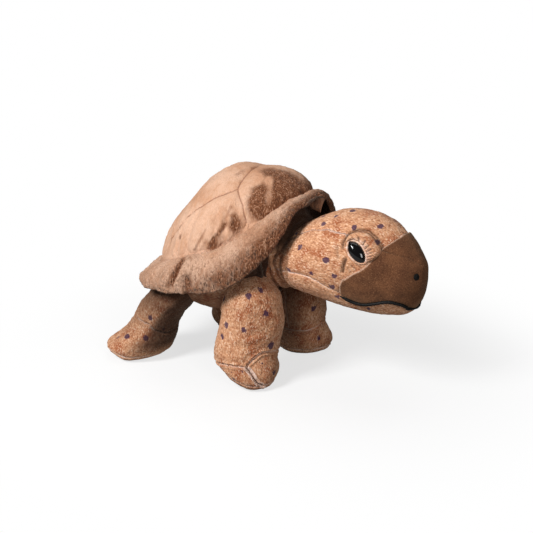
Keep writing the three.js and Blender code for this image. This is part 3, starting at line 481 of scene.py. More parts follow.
def shell_plush(name, stretch, size=0.9, rough=0.2, relief=0.9):
    """Long-napped plush, tan where the nap shines and brown where it is brushed up, with fine strokes at the
    border of the two. The same field also carries painted shade in folds and under the brim, and the field
    of painted shade darkens the cloth towards near black. size, rough and relief are those of its curls."""
    cloth = Finish(name)
    fibre = cloth.noise(size, stretch, detail=3.0)
    tuft = cloth.noise(3.0, stretch, detail=3.0, seed=5.0)
    broad = cloth.noise(30.0, (1, 1, 1.4), detail=2.0, seed=2.0)
    grain = fibre + 0.5 * tuft
    # The nap field: brushed nap, plus painted shade in folds and under the brim.
    nap = cloth.field("nap") * 1.1 + (3 * rough + 0.6) * tuft + (3 * rough + 0.2) * fibre + 0.4 * broad
    light = cloth.blend((broad + 0.5 * tuft).ramp(-0.16, 0.2), paint(220, 179, 152), paint(198, 148, 116))
    colour = cloth.blend(nap.ramp(0.1, 1.0), light, paint(122, 75, 49))
    brushed_and_painted_shade = cloth.field("nap").ramp(0.0, 0.8)
    pit = cloth.blend(brushed_and_painted_shade, paint(150, 98, 70), paint(58, 32, 20))
    colour = cloth.blend(grain.ramp(0.02, -0.16) * (brushed_and_painted_shade * 0.45 + rough), colour, pit)
    colour = cloth.blend(grain.ramp(0.02, 0.2) * (brushed_and_painted_shade * 0.12 + 0.26), colour, paint(236, 190, 156))
    seam = cloth.field("seam")
    colour = cloth.blend((seam + 0.7 * fibre).ramp(0.95, 0.3) * 0.6, colour, paint(120, 72, 48))
    # Painted shade: towards near black where the field of painted shade says.
    colour = cloth.blend(cloth.field("shade"), colour, paint(30, 17, 12))
    return cloth.surface(
        Base_Color=colour, Roughness=0.88, Sheen_Weight=0.22, Sheen_Roughness=0.4,
        Sheen_Tint=paint(255, 226, 204), Specular_IOR_Level=0.15, Normal=cloth.bump(grain, relief),
    )


rows = np.append(np.linspace(0, 0.5, DOME_ROWS), np.linspace(0.53, 1, INNER_ROWS))
points, faces, down, turn = closed_skin(rows, DOME_COLUMNS, dome_point)
normals = normals_of(points, faces)
seam = np.minimum(
    seam_distance(points, normals, on_shell(FRONT_SEAM_SHARES)),
    seam_distance(points, normals, on_shell(SIDE_SEAM_SHARES)),
)
outside = fade(down, 0.502, 0.497)
low = fade(down, 0.2, 0.4)
pucker = sum(
    0.5 * depth * bell(turn, place, 2.4 * width) - depth * bell(turn, place, width)
    for place, width, depth in DOME_PUCKERS
)
height = seam_relief(seam, *DOME_RELIEF) + low * pucker + 0.9 * noise(points, 24, 4) + pile(points, 0.3, 0.22)
height -= 2.4 * fade(down, 0.46, 0.5)
for place, radius, push in DOME_PUSHES:
    height += push * bell(away_from(points, place), 0, radius)
nap = sum(strength * bell(away_from(points, place), 0, radius) for *place, radius, strength in DOME_PATCHES)
ragged = points + 1.3 * np.stack([noise(points, 6, seed) for seed in (12, 13, 14)], -1)
# The strokes of painted fold shade darken the nap field; the pale strokes lighten it.
nap = nap + stroked(ragged, DOME_PAINTED_FOLD_SHADE) - stroked(ragged, DOME_LIGHTS)
nap = np.clip(nap, 0, 1.1) + 0.25 * np.clip(noise(points, 19, 8) - 0.1, 0, 1) * (points[:, 1] > -10)
dome = make_piece(
    "shell_plush", points + normals * (height * outside)[:, None], faces,
    shell_plush("shell plush, dome", (1, 1, 3.0)), seam=seam, nap=nap, shade=0.0,
)
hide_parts("shell_front", "shell_crown", "shell_side_right", "shell_side_left")
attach(dome, "torso")

# The brim: a strip of the shell's plush, sewn face to face with its lining and turned, caught in the seam
# under the dome. It hangs in soft folds at the sides and back and stands up as a hood over the neck.
BRIM_REACH = 23.0
BRIM_SIDE_REACH = 16.0
BRIM_DROP = 1.2
BRIM_THICKNESS = 5.0
BRIM_SHOULDER = 3.8
# How far the brim goes on inside the seam, as a share of its reach.
BRIM_TUCK = 0.14
# Points over the brim, round its edge, back under the lining and round the shell.
BRIM_OVER, BRIM_ROUND, BRIM_UNDER, BRIM_COLUMNS = 64, 14, 46, 620
BRIM_EDGE_SHARES = [
    (0, 0.9, 0.5), (0.07, 0.884, 0.57), (0.12, 0.851, 0.64), (0.16, 0.796, 0.8), (0.22, 0.717, 1.04),
    (0.28, 0.63, 1.08), (0.34, 0.557, 1.06), (0.4, 0.51, 1.03), (0.48, 0.48, 1.02), (0.6, 0.445, 1),
    (0.75, 0.412, 0.96), (0.88, 0.385, 0.85), (1, 0.375, 0.78),
]
# Folds: turn at the seam, how far it leans in turn by the edge, width in turn, height of the ridge, and
# the shares of the way out between which it runs.
BRIM_FOLDS = [
    (0.7365, -0.011, 0.0065, -4.2, 0.1, 0.95), (0.7548, -0.001, 0.0055, -3.4, 0.5, 1.3),
    (0.779, -0.058, 0.0075, 2.2, 0.2, 0.9), (0.768, -0.006, 0.0055, -1.8, 0.35, 0.85),
    (0.8128, -0.06, 0.006, -1.6, 0.3, 0.9), (0.72, -0.006, 0.012, 1.8, 0.1, 1.0),
    (0.69, -0.01, 0.012, -1.0, 0.3, 1.3), (0.655, 0.0, 0.02, 1.2, 0.1, 1.3),
    (0.5, -0.01, 0.02, -1.6, 0.1, 1.3), (0.43, 0.0, 0.03, 2.0, 0.1, 1.3),
    (0.385, 0.01, 0.012, -3.2, 0.1, 1.3), (0.345, 0.0, 0.02, 2.2, 0.1, 1.3),
    (0.3, 0.006, 0.01, -3.2, 0.1, 1.3), (0.262, 0.0, 0.02, 2.2, 0.1, 1.3),
    (0.225, -0.008, 0.012, -2.0, 0.1, 1.3),
]
# The pleat in the hood's lining: depth, turn and half width in turn.
LINING_PLEAT = 12.5
PLEAT_TURN = 0.025
PLEAT_WIDTH = 0.02


def brim_middle(share, turn):
    """The upper face of the brim. With s the share from the seam to the edge, it stands out by the sine of
    a quarter turn times s, and its height goes from the seam's to the edge's by s to the power BRIM_DROP."""
    angle = turn * 2 * np.pi
    side = from_front(turn - np.floor(turn))
    crease = value_at(CREASE_HEIGHT_SHARES, side, 1) * SHELL_TOP
    edge = value_at(BRIM_EDGE_SHARES, side, 1) * SHELL_TOP
    reach = value_at(BRIM_EDGE_SHARES, side, 2) * BRIM_REACH
    out = np.sin(share * np.pi / 2)
    return np.stack([
        SHELL_FORWARD + (SHELL_LENGTH / 2 + reach * out) * np.cos(angle),
        (SHELL_WIDTH / 2 + BRIM_SIDE_REACH * out) * np.sin(angle),
        crease + (edge - crease) * np.maximum(share, 0) ** BRIM_DROP,
    ], -1)


def brim_frame(share, turn):
    """The face's point, the way out along it and its normal, from points a hundredth to each side."""
    step = 0.01
    point = brim_middle(share, turn)
    out = brim_middle(np.minimum(share + step, 1), turn) - brim_middle(np.minimum(share + step, 1) - 2 * step, turn)
    around = brim_middle(share, turn + step) - brim_middle(share, turn - step)
    normal = np.cross(out, around)
    return point, out / np.linalg.norm(out, axis=1)[:, None], normal / np.linalg.norm(normal, axis=1)[:, None]


def ring_skin(section, columns, point_at):
    """Points and faces of a ring: a closed section, given by its own values, carried round a full turn."""
    s = np.repeat(section, columns)
    turn = np.tile(np.arange(columns) / columns, len(section))
    here, after = bands(len(section) + 1, columns)
    quads = np.stack([here, np.roll(here, -1, axis=0), np.roll(after, -1, axis=0), after], -1).reshape(-1, 4)
    return point_at(s, turn), [quads], s, turn


def on_pleat(s, turn):
    """1 on the lining's pleat and 0 away from it: e to the power minus the fourth power of the distance
    in half widths."""
    return np.exp(-(((turn - PLEAT_TURN) / PLEAT_WIDTH) ** 4)) * fade(s, 1.9, 2.1)


def brim_point(s, turn):
    """The brim's closed section. s from 0 to 1 runs out over the upper face, from 1 to 2 round the edge in
    a half circle, and from 2 to 3 back under the lining."""
    share = np.where(s < 1, mix(-BRIM_TUCK, 1, s), np.where(s > 2, mix(1, -BRIM_TUCK, s - 2), 1))
    point, out, normal = brim_frame(share, turn)
    swing = np.clip(s - 1, 0, 1) * np.pi
    side = from_front(turn)
    thick = BRIM_THICKNESS * mix(0.55, 1, fade(share, 0, 0.7)) * mix(0.65, 1, fade(side, 0.08, 0.35))
    lift = (np.cos(swing) - 1) / 2 * thick
    fold = sum(
        height * bell(turn, start + lean * share, width)
        * fade(share, first - 0.1, first + 0.15) * fade(share, last + 0.1, last - 0.15)
        for start, lean, width, height, first, last in BRIM_FOLDS
    )
    hump = np.clip((share + BRIM_TUCK) / (1 + BRIM_TUCK), 0, 1) ** 0.75
    shoulder = BRIM_SHOULDER * mix(1, 0.1, fade(side, 0.5, 0.8)) * np.sin(np.pi * hump) ** 0.8
    pleat = LINING_PLEAT * on_pleat(s, turn) * fade(share, 0.1, 0.35) * fade(share, 1.05, 0.85)
    angle = turn * 2 * np.pi
    wave = 0.6 * np.sin(angle * 11 + 3 * np.sin(angle * 3)) * fade(share, 0.2, 1) * fade(side, 0.2, 0.5)
    rise = lift + shoulder + (fold + wave) * fade(share, 0, 0.5) - pleat
    point = point + normal * rise[:, None] + out * (np.sin(swing) * thick / 2)[:, None]
    point[:, 2] -= REAR_SAG * fade(side, 0.62, 0.85) * fade(share, 1, 0.4)
    return point


section = np.concatenate([
    np.linspace(0, 1, BRIM_OVER, endpoint=False), np.linspace(1, 2, BRIM_ROUND, endpoint=False),
    np.linspace(2, 3, BRIM_UNDER),
])
points, faces, s, turn = ring_skin(section, BRIM_COLUMNS, brim_point)
normals = normals_of(points, faces)
across = np.where(turn > 0.5, turn - 1, turn)
far = fade(across, 0, 0.03) * fade(across, 0.3, 0.2)
upper = fade(s, mix(1.4, 2.3, far), mix(1.05, 1.9, far))
height = pile(points, 0.6, 0.5) + 0.6 * noise(points, 9, 6)
side = from_front(turn)
front = fade(side, 0.55, 0.2)
# Darker nap towards the outer half of the face and most at the front: brushed nap, and painted shade where the face
# turns down.
nap = (0.3 + 0.6 * front) * fade(s, 0.15, 0.8) * upper + 0.35 * np.clip(noise(points, 14, 9), 0, 1)
# Painted shade along the grooves of two folds at the side.
nap += 0.8 * bell(turn, 0.735 - 0.009 * s, 0.0055) * fade(s, 0.1, 0.35) * fade(s, 0.95, 0.7) * upper
nap += 0.7 * bell(turn, 0.756, 0.005) * fade(s, 0.5, 0.75) * upper
pleat = on_pleat(s, turn)
# Painted shade under the edge and on the lining, all but the pleat.
nap += (1 - upper) * 0.55 * (1 - pleat)
# Painted shade, near black under the edge and in the hood, lighter on the pleat.
brim = make_piece(
    "brim_plush", points + normals * height[:, None], faces,
    shell_plush("shell plush, brim", (1, 1, 3.0), size=1.0, rough=0.46, relief=2.2),
    seam=FAR, nap=nap, shade=(0.85 - 0.8 * pleat) * (1 - upper) * (0.3 + 0.7 * front),
)
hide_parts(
    "brim_front", "brim_lining_front", "brim_left", "brim_lining_left", "brim_rear", "brim_lining_rear",
    "brim_right", "brim_lining_right",
)
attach(brim, "torso")

# The neck: a short sleeve of printed plush over a ball of fibre, wrinkled in rings, and round it the
# collar of shell plush that closes the front of the trunk, with a pleat on top under the hood.
NECK_LIFT = 110.0
NECK_RADIUS = 26.0
# Along the neck from inside the trunk to inside the head: x, radius.
NECK_ROWS = [
    (44, 0.0), (46, 20.0), (52, 27.0), (60, 31.0), (68, 31.5), (76, 30.0), (84, 27.0), (89, 18.0), (91, 0.0),
]
# From one ring fold to the next.
NECK_FOLD = 8.4
NECK_GRID = (91, 160)


def neck_point(down, turn):
    """A barrel about the X axis through the neck's middle: radius by the table, plus ring folds whose crest
    wanders with the angle."""
    x = mix(NECK_ROWS[0][0], NECK_ROWS[-1][0], down)
    angle = turn * 2 * np.pi
    fold = 0.9 * np.sin(x * 2 * np.pi / NECK_FOLD + 1.4 * np.sin(angle * 2))
    fold = fold * fade(down, 0.1, 0.3) * fade(down, 0.95, 0.8)
    radius = np.maximum(value_at(NECK_ROWS, x, 1), 0) * (1 + fold / NECK_RADIUS)
    radius = np.where((down == 0) | (down == 1), 0, radius)
    return np.stack([x, -radius * np.cos(angle), NECK_LIFT + radius * 1.05 * np.sin(angle)], -1)


points, faces, down, turn = closed_skin(*NECK_GRID, neck_point)
normals = normals_of(points, faces)
neck = make_piece(
    "neck_plush", points + normals * pile(points, 0.22, 0.18)[:, None], faces,
    printed_plush("printed plush, neck", (1, 1, 1.5)), seam=FAR, dot=FAR,
    # Painted shade: darker high up, under the hood.
    shade=0.08 + 0.84 * fade(points[:, 2], 112, 126),
)
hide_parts("neck_filling", "neck_sleeve")
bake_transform(neck)

COLLAR_BACK = 54.0
COLLAR_FRONT = 64.0
COLLAR_WIDE = 41.5
COLLAR_NARROW = 39.5
COLLAR_THICKNESS = 3.0
COLLAR_PLEAT = 4.0
COLLAR_OUTER, COLLAR_INNER, COLLAR_COLUMNS = 40, 20, 200


def collar_point(s, turn):
    """A ring round the neck. s from 0 to 1 runs forward along its outer face, narrowing, and from 1 to 2
    back along its inner face. A bell-shaped pleat stands up on top."""
    share = np.where(s < 1, s, 2 - s)
    angle = turn * 2 * np.pi
    x = mix(COLLAR_BACK, COLLAR_FRONT, share) + 2.5 * np.sin(angle)
    radius = mix(COLLAR_WIDE, COLLAR_NARROW, share**0.8)
    radius = radius + COLLAR_PLEAT * bell(turn, 0.262, 0.03) * fade(share, 0, 0.5)
    radius = radius + 1.2 * np.sin(angle * 9 + 1) * fade(share, 0, 0.4) - np.where(s < 1, 0, COLLAR_THICKNESS)
    return np.stack([x, -radius * np.cos(angle), NECK_LIFT + radius * np.sin(angle)], -1)


section = np.append(
    np.linspace(0, 1, COLLAR_OUTER, endpoint=False), np.linspace(1, 2, COLLAR_INNER, endpoint=False)
)
points, faces, s, turn = ring_skin(section, COLLAR_COLUMNS, collar_point)
normals = normals_of(points, faces)
collar = make_piece(
    "neck_collar_plush", points + normals * pile(points, 0.3, 0.2)[:, None], faces,
    shell_plush("shell plush, collar", (1, 1, 1.4), size=1.5, rough=0.5, relief=1.8),
    # Painted shade: the whole collar darkened, down in the hollow under the hood.
    seam=FAR, nap=0.45 + 0.4 * noise(points, 8, 3), shade=0.9,
)
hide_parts("neck_collar")
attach(collar, "torso")

# The head: a forehead strip, two sides and a chin panel of printed plush, stuffed hard. Pale worn fibre
# shows along the seams, and the cloth wrinkles round the eye and at the neck. Painted shade darkens the
# folds and the back of the head inside the hood.
HEAD_LENGTH = 137.0
HEAD_REAR = 60.0
HEAD_WIDTH = 79.0
HEAD_HEIGHT = 84.0
HEAD_BOTTOM = 71.5
HEAD_GRID = (271, 330)
HEAD_RELIEF = (1.0, 0.8, 1.1, 5)
MOUTH_RELIEF = (1.2, 1.4, 1.2, 6)
FELT_BORDER_RELIEF = (0.5, 0.8, 0.5, 4)
# Along the head from the back: top, bottom and half width, as shares.
HEAD_OUTLINE_SHARES = [
    (0, 0.45, 0.45, 0), (0.03, 0.57, 0.3, 0.6), (0.07, 0.64, 0.22, 0.78), (0.13, 0.715, 0.15, 0.88),
    (0.22, 0.81, 0.085, 0.95), (0.34, 0.915, 0.045, 1), (0.46, 0.98, 0.02, 1), (0.58, 1, 0.005, 0.95),
    (0.7, 0.975, 0, 0.85), (0.8, 0.905, 0.015, 0.71), (0.89, 0.79, 0.05, 0.54), (0.95, 0.67, 0.13, 0.38),
    (0.985, 0.57, 0.26, 0.2), (1, 0.42, 0.42, 0),
]
BEAK_EDGE_SHARES = [
    (0.87, 1.1), (0.85, 0.837), (0.839, 0.824), (0.791, 0.758), (0.755, 0.661), (0.717, 0.576),
    (0.661, 0.514), (0.586, 0.423), (0.569, 0.356), (0.56, 0.25),
]
MOUTH_SHARES = [
    (0.56, 0.25), (0.634, 0.195), (0.68, 0.182), (0.729, 0.193), (0.836, 0.242), (0.893, 0.219),
    (0.92, 0.185), (0.94, 0.12),
]
CHIN_SEAM_SHARES = [
    (-0.1, 0.33), (0.07, 0.35), (0.218, 0.385), (0.304, 0.4), (0.363, 0.39), (0.426, 0.354),
    (0.491, 0.293), (0.56, 0.25),
]
# The forehead strip's seam, seen from the side, from the neck over the brow and along the beak.
BROW_SEAM = [
    (66, 108), (80, 126), (92, 134.5), (103.6, 140.4), (119.9, 144.5), (136.6, 143.7), (152, 141), (162, 139),
]
BEAK_SEAM = [(162, 138), (170, 133), (180, 129.9), (186.5, 127.2), (193.8, 121.3)]
# The distance given to the parts of the head that a seam doesn't cross.
NO_SEAM = 20.0
# The dart under the eye, the folds beside it, the groove round the eyelid and the creases at the neck, seen
# from the side, then depth, width and the strength of the painted shade along them.
FACE_FOLDS = [
    ([(142.7, 125), (141.6, 119.8), (141.2, 115)], 2.4, 1.7, 0.85),
    ([(134, 133.5), (134.6, 130), (136.5, 126)], 0.8, 1.8, 0.4),
    ([(147.6, 121.1), (151.7, 117.8)], 0.9, 0.8, 0.5), ([(151, 123), (156.3, 119.9)], 0.8, 0.8, 0.5),
    ([(145, 119), (148, 115)], 0.6, 0.8, 0.35),
    (
        [(138.6, 133.5), (137.6, 138), (139.6, 143.8), (146, 147.2), (154.5, 147), (162.2, 143), (168, 137.5),
         (170.3, 132.5), (167.2, 127.6), (161.6, 122)],
        1.6, 1.3, 0.75,
    ),
    ([(84, 88), (79, 100), (80, 114)], 1.6, 2.2, 0.5), ([(90, 84), (86.5, 98), (88, 116)], 1.0, 2.0, 0.3),
]
# Printed dots: x, y, z, radius. The left side's mirror the right side's, moved a little.
HEAD_DOTS = [
    (112.4, -19.9, 145.3, 2.0), (130.5, -3.1, 154.3, 2.4), (142.1, -20.9, 147.6, 1.9), (159.8, -10.6, 148.8, 2.3),
    (163.2, -21.3, 139.5, 2.0), (99.7, -33.6, 126.7, 2.1), (126.5, -37.7, 121.9, 2.4), (89.9, -36.8, 105.8, 2.2),
    (113.5, -39, 108.8, 1.8), (134.1, -37.7, 110.2, 1.9), (130.8, -36.1, 99.1, 2.2), (133.3, -30.6, 89.3, 1.7),
    (156.9, -21.2, 81.8, 1.6), (105, -38.4, 92, 1.8), (88, -20, 132, 1.8), (104, -6, 147, 2.0), (120, -12, 151, 1.5),
]


def head_section(x):
    """Middle height, half height and half width of the head at a place along X."""
    share = (x - HEAD_REAR) / HEAD_LENGTH
    top, bottom, half = (value_at(HEAD_OUTLINE_SHARES, share, column) for column in (1, 2, 3))
    return HEAD_BOTTOM + (top + bottom) / 2 * HEAD_HEIGHT, (top - bottom) / 2 * HEAD_HEIGHT, half * HEAD_WIDTH / 2


def head_point(along, turn):
    """An oval section at each place, whose places lie closer towards both ends: the share of the length is
    half of 1 - cos of a half turn times along."""
    x = HEAD_REAR + HEAD_LENGTH * (0.5 - 0.5 * np.cos(along * np.pi))
    middle, rise, half = head_section(x)
    angle = turn * 2 * np.pi
    return np.stack([x, -half * np.cos(angle), middle + rise * np.sin(angle)], -1)


def on_head(shares):
    """Places in the side view from shares of the head's length and height."""
    return [(HEAD_REAR + x * HEAD_LENGTH, HEAD_BOTTOM + z * HEAD_HEIGHT) for x, z in shares]


def head_side(x, z, side):
    """The place on the head's side seen at x and z, from the oval's equation."""
    middle, rise, half = head_section(x)
    height = (z - middle) / np.maximum(rise, 0.1)
    return np.stack([x, side * half * np.sqrt(np.clip(1 - height**2, 0, 1)), z], -1)


def head_out(x, z, side):
    """The way out of the head's side there, from places 0.3 mm to each side of it."""
    step = 0.3
    along = head_side(x + step, z, side) - head_side(x - step, z, side)
    up = head_side(x, z + step, side) - head_side(x, z - step, side)
    out = np.cross(up, along) * side
    return out / np.maximum(np.linalg.norm(out, axis=-1, keepdims=True), 1e-9)


def head_frame(x, z, side):
    """The place on the head's side seen at x and z, and the way out of it."""
    x, z = np.array(x), np.array(z)
    return head_side(x, z, side), head_out(x, z, side)


def inside_distance(flat, outline):
    """Distance from points to a closed outline in one plane, above 0 inside it."""
    closed = [*outline, outline[0]]
    crossings = np.zeros(len(flat), int)
    for start, end in spans(closed):
        along = end - start
        passed = (start[1] > flat[:, 1]) != (end[1] > flat[:, 1])
        rise = along[1] if along[1] else 1.0
        crossings += passed & (flat[:, 0] < start[0] + along[0] * (flat[:, 1] - start[1]) / rise)
    best = path_distance(flat, closed)
    return np.where(crossings % 2 == 1, best, -best)


BEAK_OUTLINE = on_head(BEAK_EDGE_SHARES) + on_head(MOUTH_SHARES[1:]) + on_head([(1, 0), (1.3, 0), (1.3, 1.4)])
mirrored = [(x + 2.5, -y, z - 1.5, radius) for x, y, z, radius in HEAD_DOTS]
points, faces, along, turn = closed_skin(*HEAD_GRID, head_point)
normals = normals_of(points, faces)
x, y, z = points.T
felt_inside = inside_distance(points[:, SIDE_VIEW], BEAK_OUTLINE)
upper_half = z > HEAD_BOTTOM + 0.45 * HEAD_HEIGHT
below_brow = z < np.interp(x, *np.transpose(BROW_SEAM))
brow = np.where(upper_half, seam_distance(points, normals, BROW_SEAM), NO_SEAM)
chin = np.where(z < 108, seam_distance(points, normals, on_head(CHIN_SEAM_SHARES)), NO_SEAM)
mouth = seam_distance(points, normals, on_head(MOUTH_SHARES))
edge = np.abs(felt_inside)
height = seam_relief(np.minimum(brow, chin), *HEAD_RELIEF) + pile(points, 0.22, 0.16) + 0.7 * noise(points, 20, 3)
height += seam_relief(mouth, *MOUTH_RELIEF) + seam_relief(edge, *FELT_BORDER_RELIEF) * (felt_inside < 0)
shade = np.zeros(len(points))
# Each fold sinks into the cloth and gets painted shade along it.
for path, depth, width, dark in FACE_FOLDS:
    distance = seam_distance(points, normals, path)
    height -= depth * bell(distance, 0, width) - 0.35 * depth * bell(distance, 0, 2.6 * width)
    shade = np.maximum(shade, dark * bell(distance, 0, 0.8 * width))
# Painted shade at the back of the head, deepest up inside the hood.
shade = np.maximum(shade, 0.3 * fade(x, 80, 68))
shade = np.maximum(shade, 0.88 * fade(x, 88, 82) * fade(z, 112, 126))
height *= fade(x, 62, 74)
height -= 1.2 * fade(felt_inside, 0, 3)
# Where the seams look worn: dark in the brow's groove and pale below it, pale along the chin and the felt.
brow_worn = np.where(brow < 0.8, brow * 0.5, np.where(below_brow, brow + 0.3, FAR))
felt_worn = edge + 1.3 + 0.7 * np.sin(z * 4) + 0.8 * noise(points, 7, 2)
head = make_piece(
    "head_plush", points + normals * height[:, None], faces, printed_plush("printed plush, head", (1.9, 1, 1)),
    seam=np.minimum.reduce([brow_worn, chin + 0.7, felt_worn]),
    dot=add_dots(points, normals, HEAD_DOTS + mirrored, count=6, spacing=22, seed=5), shade=shade,
)
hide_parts("head_filling", "head_side_right", "head_side_left", "forehead_strip", "chin_panel")
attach(head, "head")

# The beak: a smooth brown felt sewn over the front of the head in three parts, two sides and a bridge,
# with a fuzzy cut edge against the plush. It sinks a little round each nostril.
FELT_THICKNESS = 1.1
FELT_MOUTH_RELIEF = (0.6, 1.4, 0.8, 6)
FELT_RELIEF = (0.7, 0.8, 0.5, 4)


def cut_patch(points, faces, inside):
    """The part of a skin where a number is above 0. Each face is split into triangles, and a triangle that
    the border crosses is cut at the places where the number, taken as linear along its edges, is 0."""
    quads, fans = faces
    triangles = np.vstack([quads[:, [0, 1, 2]], quads[:, [0, 2, 3]], fans])
    within = inside[triangles] > 0
    whole = triangles[within.all(axis=1)]
    crossed = triangles[within.any(axis=1) & ~within.all(axis=1)]
    within = inside[crossed] > 0
    alone = np.where(within.sum(axis=1) == 1, within.argmax(axis=1), (~within).argmax(axis=1))
    turned = np.take_along_axis(crossed, (alone[:, None] + np.arange(3)) % 3, axis=1)
    pairs = np.vstack([turned[:, [0, 1]], turned[:, [0, 2]]])
    edges, index = np.unique(np.sort(pairs, axis=1), axis=0, return_inverse=True)
    index = index.reshape(-1) + len(points)
    first, second = inside[edges[:, 0]], inside[edges[:, 1]]
    share = (first / (first - second))[:, None]
    points = np.vstack([points, mix(points[edges[:, 0]], points[edges[:, 1]], share)])
    ab, ac = index[: len(turned)], index[len(turned):]
    one = inside[turned[:, 0]] > 0
    tips = np.stack([turned[:, 0], ab, ac], -1)[one]
    bases = np.stack([ab, turned[:, 1], turned[:, 2], ac], -1)[~one]
    faces = np.vstack([whole, tips, bases[:, [0, 1, 2]], bases[:, [0, 2, 3]]])
    used, faces = np.unique(faces, return_inverse=True)
    return points[used], faces.reshape(-1, 3)


NOSTRIL_PLACE = on_head([(0.974, 0.49)])[0]
NOSTRIL_DIMPLE = 1.8
NOSTRIL_DIMPLE_WIDTH = 3.6


def felt_finish():
    """Short felt: matted brown fibre, dark in its seams and pale along its cut edge."""
    cloth = Finish("beak felt")
    fibre = cloth.noise(0.8, (1.6, 1, 1), detail=4.0)
    broad = cloth.noise(12.0, detail=2.0, seed=4.0)
    colour = cloth.blend((broad + 0.5 * fibre).ramp(-0.2, 0.2), paint(118, 76, 50), paint(94, 58, 38))
    colour = cloth.blend(fibre.ramp(0.0, -0.18) * 0.65, colour, paint(60, 36, 23))
    colour = cloth.blend(fibre.ramp(0.02, 0.2) * 0.45, colour, paint(166, 118, 82))
    colour = cloth.blend((cloth.field("seam") + 0.3 * fibre).ramp(0.6, 0.2) * 0.6, colour, paint(62, 40, 27))
    rim = (cloth.field("edge") + 1.6 * fibre + broad).ramp(1.2, 0.4)
    colour = cloth.blend(rim * 0.6, colour, paint(222, 184, 158))
    return cloth.surface(
        Base_Color=colour, Roughness=0.9, Sheen_Weight=0.2, Sheen_Roughness=0.5, Sheen_Tint=paint(230, 205, 170),
        Specular_IOR_Level=0.15, Normal=cloth.bump(fibre + 0.4 * broad, 0.3),
    )


base_height = 0.7 * noise(points, 20, 3) + seam_relief(mouth, *FELT_MOUTH_RELIEF)
base = points + normals * (base_height * fade(felt_inside, -4, 2))[:, None]
patch, triangles = cut_patch(base, faces, felt_inside)
patch_normals = normals_of(patch, [triangles])
felt_edge = np.abs(inside_distance(patch[:, SIDE_VIEW], BEAK_OUTLINE))
felt_seam = np.where(patch[:, 2] > 112, seam_distance(patch, patch_normals, BEAK_SEAM), FAR)
height = seam_relief(felt_seam, *FELT_RELIEF) + 0.25 * noise(patch, 6, 7) - 0.5 * fade(felt_edge, 1.2, 0)
height -= 1.3 * fade(patch[:, 0], 180, 192) * fade(patch[:, 2], 122, 100)
for side in (-1, 1):
    nostril, out = head_frame(*NOSTRIL_PLACE, side)
    height -= NOSTRIL_DIMPLE * bell(away_from(patch, nostril), 0, NOSTRIL_DIMPLE_WIDTH)
felt = make_piece(
    "beak_felt", patch + patch_normals * height[:, None], [triangles], felt_finish(), seam=felt_seam, edge=felt_edge,
)
solid = felt.modifiers.new("thickness", "SOLIDIFY")
solid.thickness, solid.offset = FELT_THICKNESS * MM, 1
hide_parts("beak_bridge", "beak_side_right", "beak_side_left")
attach(felt, "head")

# The eyes: black plastic domes on a shank with a washer inside, under a stuffed eyelid that folds down
# over them, in a rim of pale worn plush.
EYE_PLACE = (150.2, 131.7)
EYE_LONG = 10.3
EYE_SHORT = 5.7
EYE_TILT = -46.0
EYE_DOME = 4.0
EYE_GRID = (31, 96)
HANDS = ((-1, "right"), (1, "left"))
# The upper eyelid's outer edge, seen from the side, from the back over the brow and down before the eye.
LID_OUTER = [
    (140.5, 134.5), (139.2, 138.5), (140.6, 142.9), (146, 145.8), (154.3, 145.5), (161.2, 141.6), (166.5, 136.5),
    (168.5, 132.5), (165.8, 128), (160.5, 123),
]
LID_PUFF = 3.0
# Sections along the lid, and points over its top and back under it in each.
LID_SECTIONS = 120
LID_OVER = 40
LID_UNDER = 14
# Points round a cord.
CORD_COLUMNS = 14


def smooth_path(path, count):
    """A path's places, evenly many between, on a cubic through them."""
    path = np.array(path, float)
    place = np.linspace(0, len(path) - 1, count)
    columns = [value_at(enumerate(path[:, axis]), place, 1) for axis in range(path.shape[1])]
    return np.stack(columns, -1)


def plastic(name, red, green, blue, roughness):
    """Moulded plastic under a thin clear coat, its roughness a little uneven."""
    finish = Finish(name)
    speck = finish.noise(3.0, detail=2.0)
    return finish.surface(
        Base_Color=paint(red, green, blue), Roughness=speck * 0.06 + roughness, Coat_Weight=0.35, Coat_Roughness=0.09,
    )


def eye_frame(side):
    """The eye's middle, its long and short ways over the cloth, and the way out."""
    middle, out = head_frame(*EYE_PLACE, side)
    tilt = math.radians(EYE_TILT)
    long = np.array([math.cos(tilt), 0, math.sin(tilt)])
    long = long - out * (long @ out)
    long /= np.linalg.norm(long)
    return middle, long, np.cross(out, long), out


def eye_outline(angle):
    """An almond: an oval whose half width shrinks towards the corners by the cosine's fourth power, most at
    the rear one."""
    along = np.cos(angle)
    return EYE_LONG * along, EYE_SHORT * np.sin(angle) * (1 - np.where(along < 0, 0.5, 0.15) * along**4)


def tube(name, path, radius, finish, **fields):
    """A round cord along a path: rings square to the way between the neighbouring places, each with its own
    radius, closed with a point at each end."""
    columns = CORD_COLUMNS
    way = np.gradient(path, axis=0)
    way /= np.linalg.norm(way, axis=1, keepdims=True)
    up = np.cross(way, np.array([0.13, 0.92, 0.37]))
    up /= np.linalg.norm(up, axis=1, keepdims=True)
    across = np.cross(way, up)
    angle = np.arange(columns) / columns * 2 * np.pi
    round_way = up[:, None] * np.cos(angle)[:, None] + across[:, None] * np.sin(angle)[:, None]
    rings = path[:, None] + radius[:, None, None] * round_way
    here, after = bands(len(path), columns)
    quads = np.stack([here, after, after + columns, here + columns], -1).reshape(-1, 4)
    count = len(path) * columns
    ring = np.arange(columns)
    ahead = np.roll(ring, -1)
    start, end = np.full(columns, count), np.full(columns, count + 1)
    last = count - columns
    fans = np.vstack([np.stack([start, ahead, ring], -1), np.stack([end, last + ring, last + ahead], -1)])
    points = np.vstack([rings.reshape(-1, 3), path[:1], path[-1:]])
    return make_piece(name, points, [quads, fans], finish, **fields)


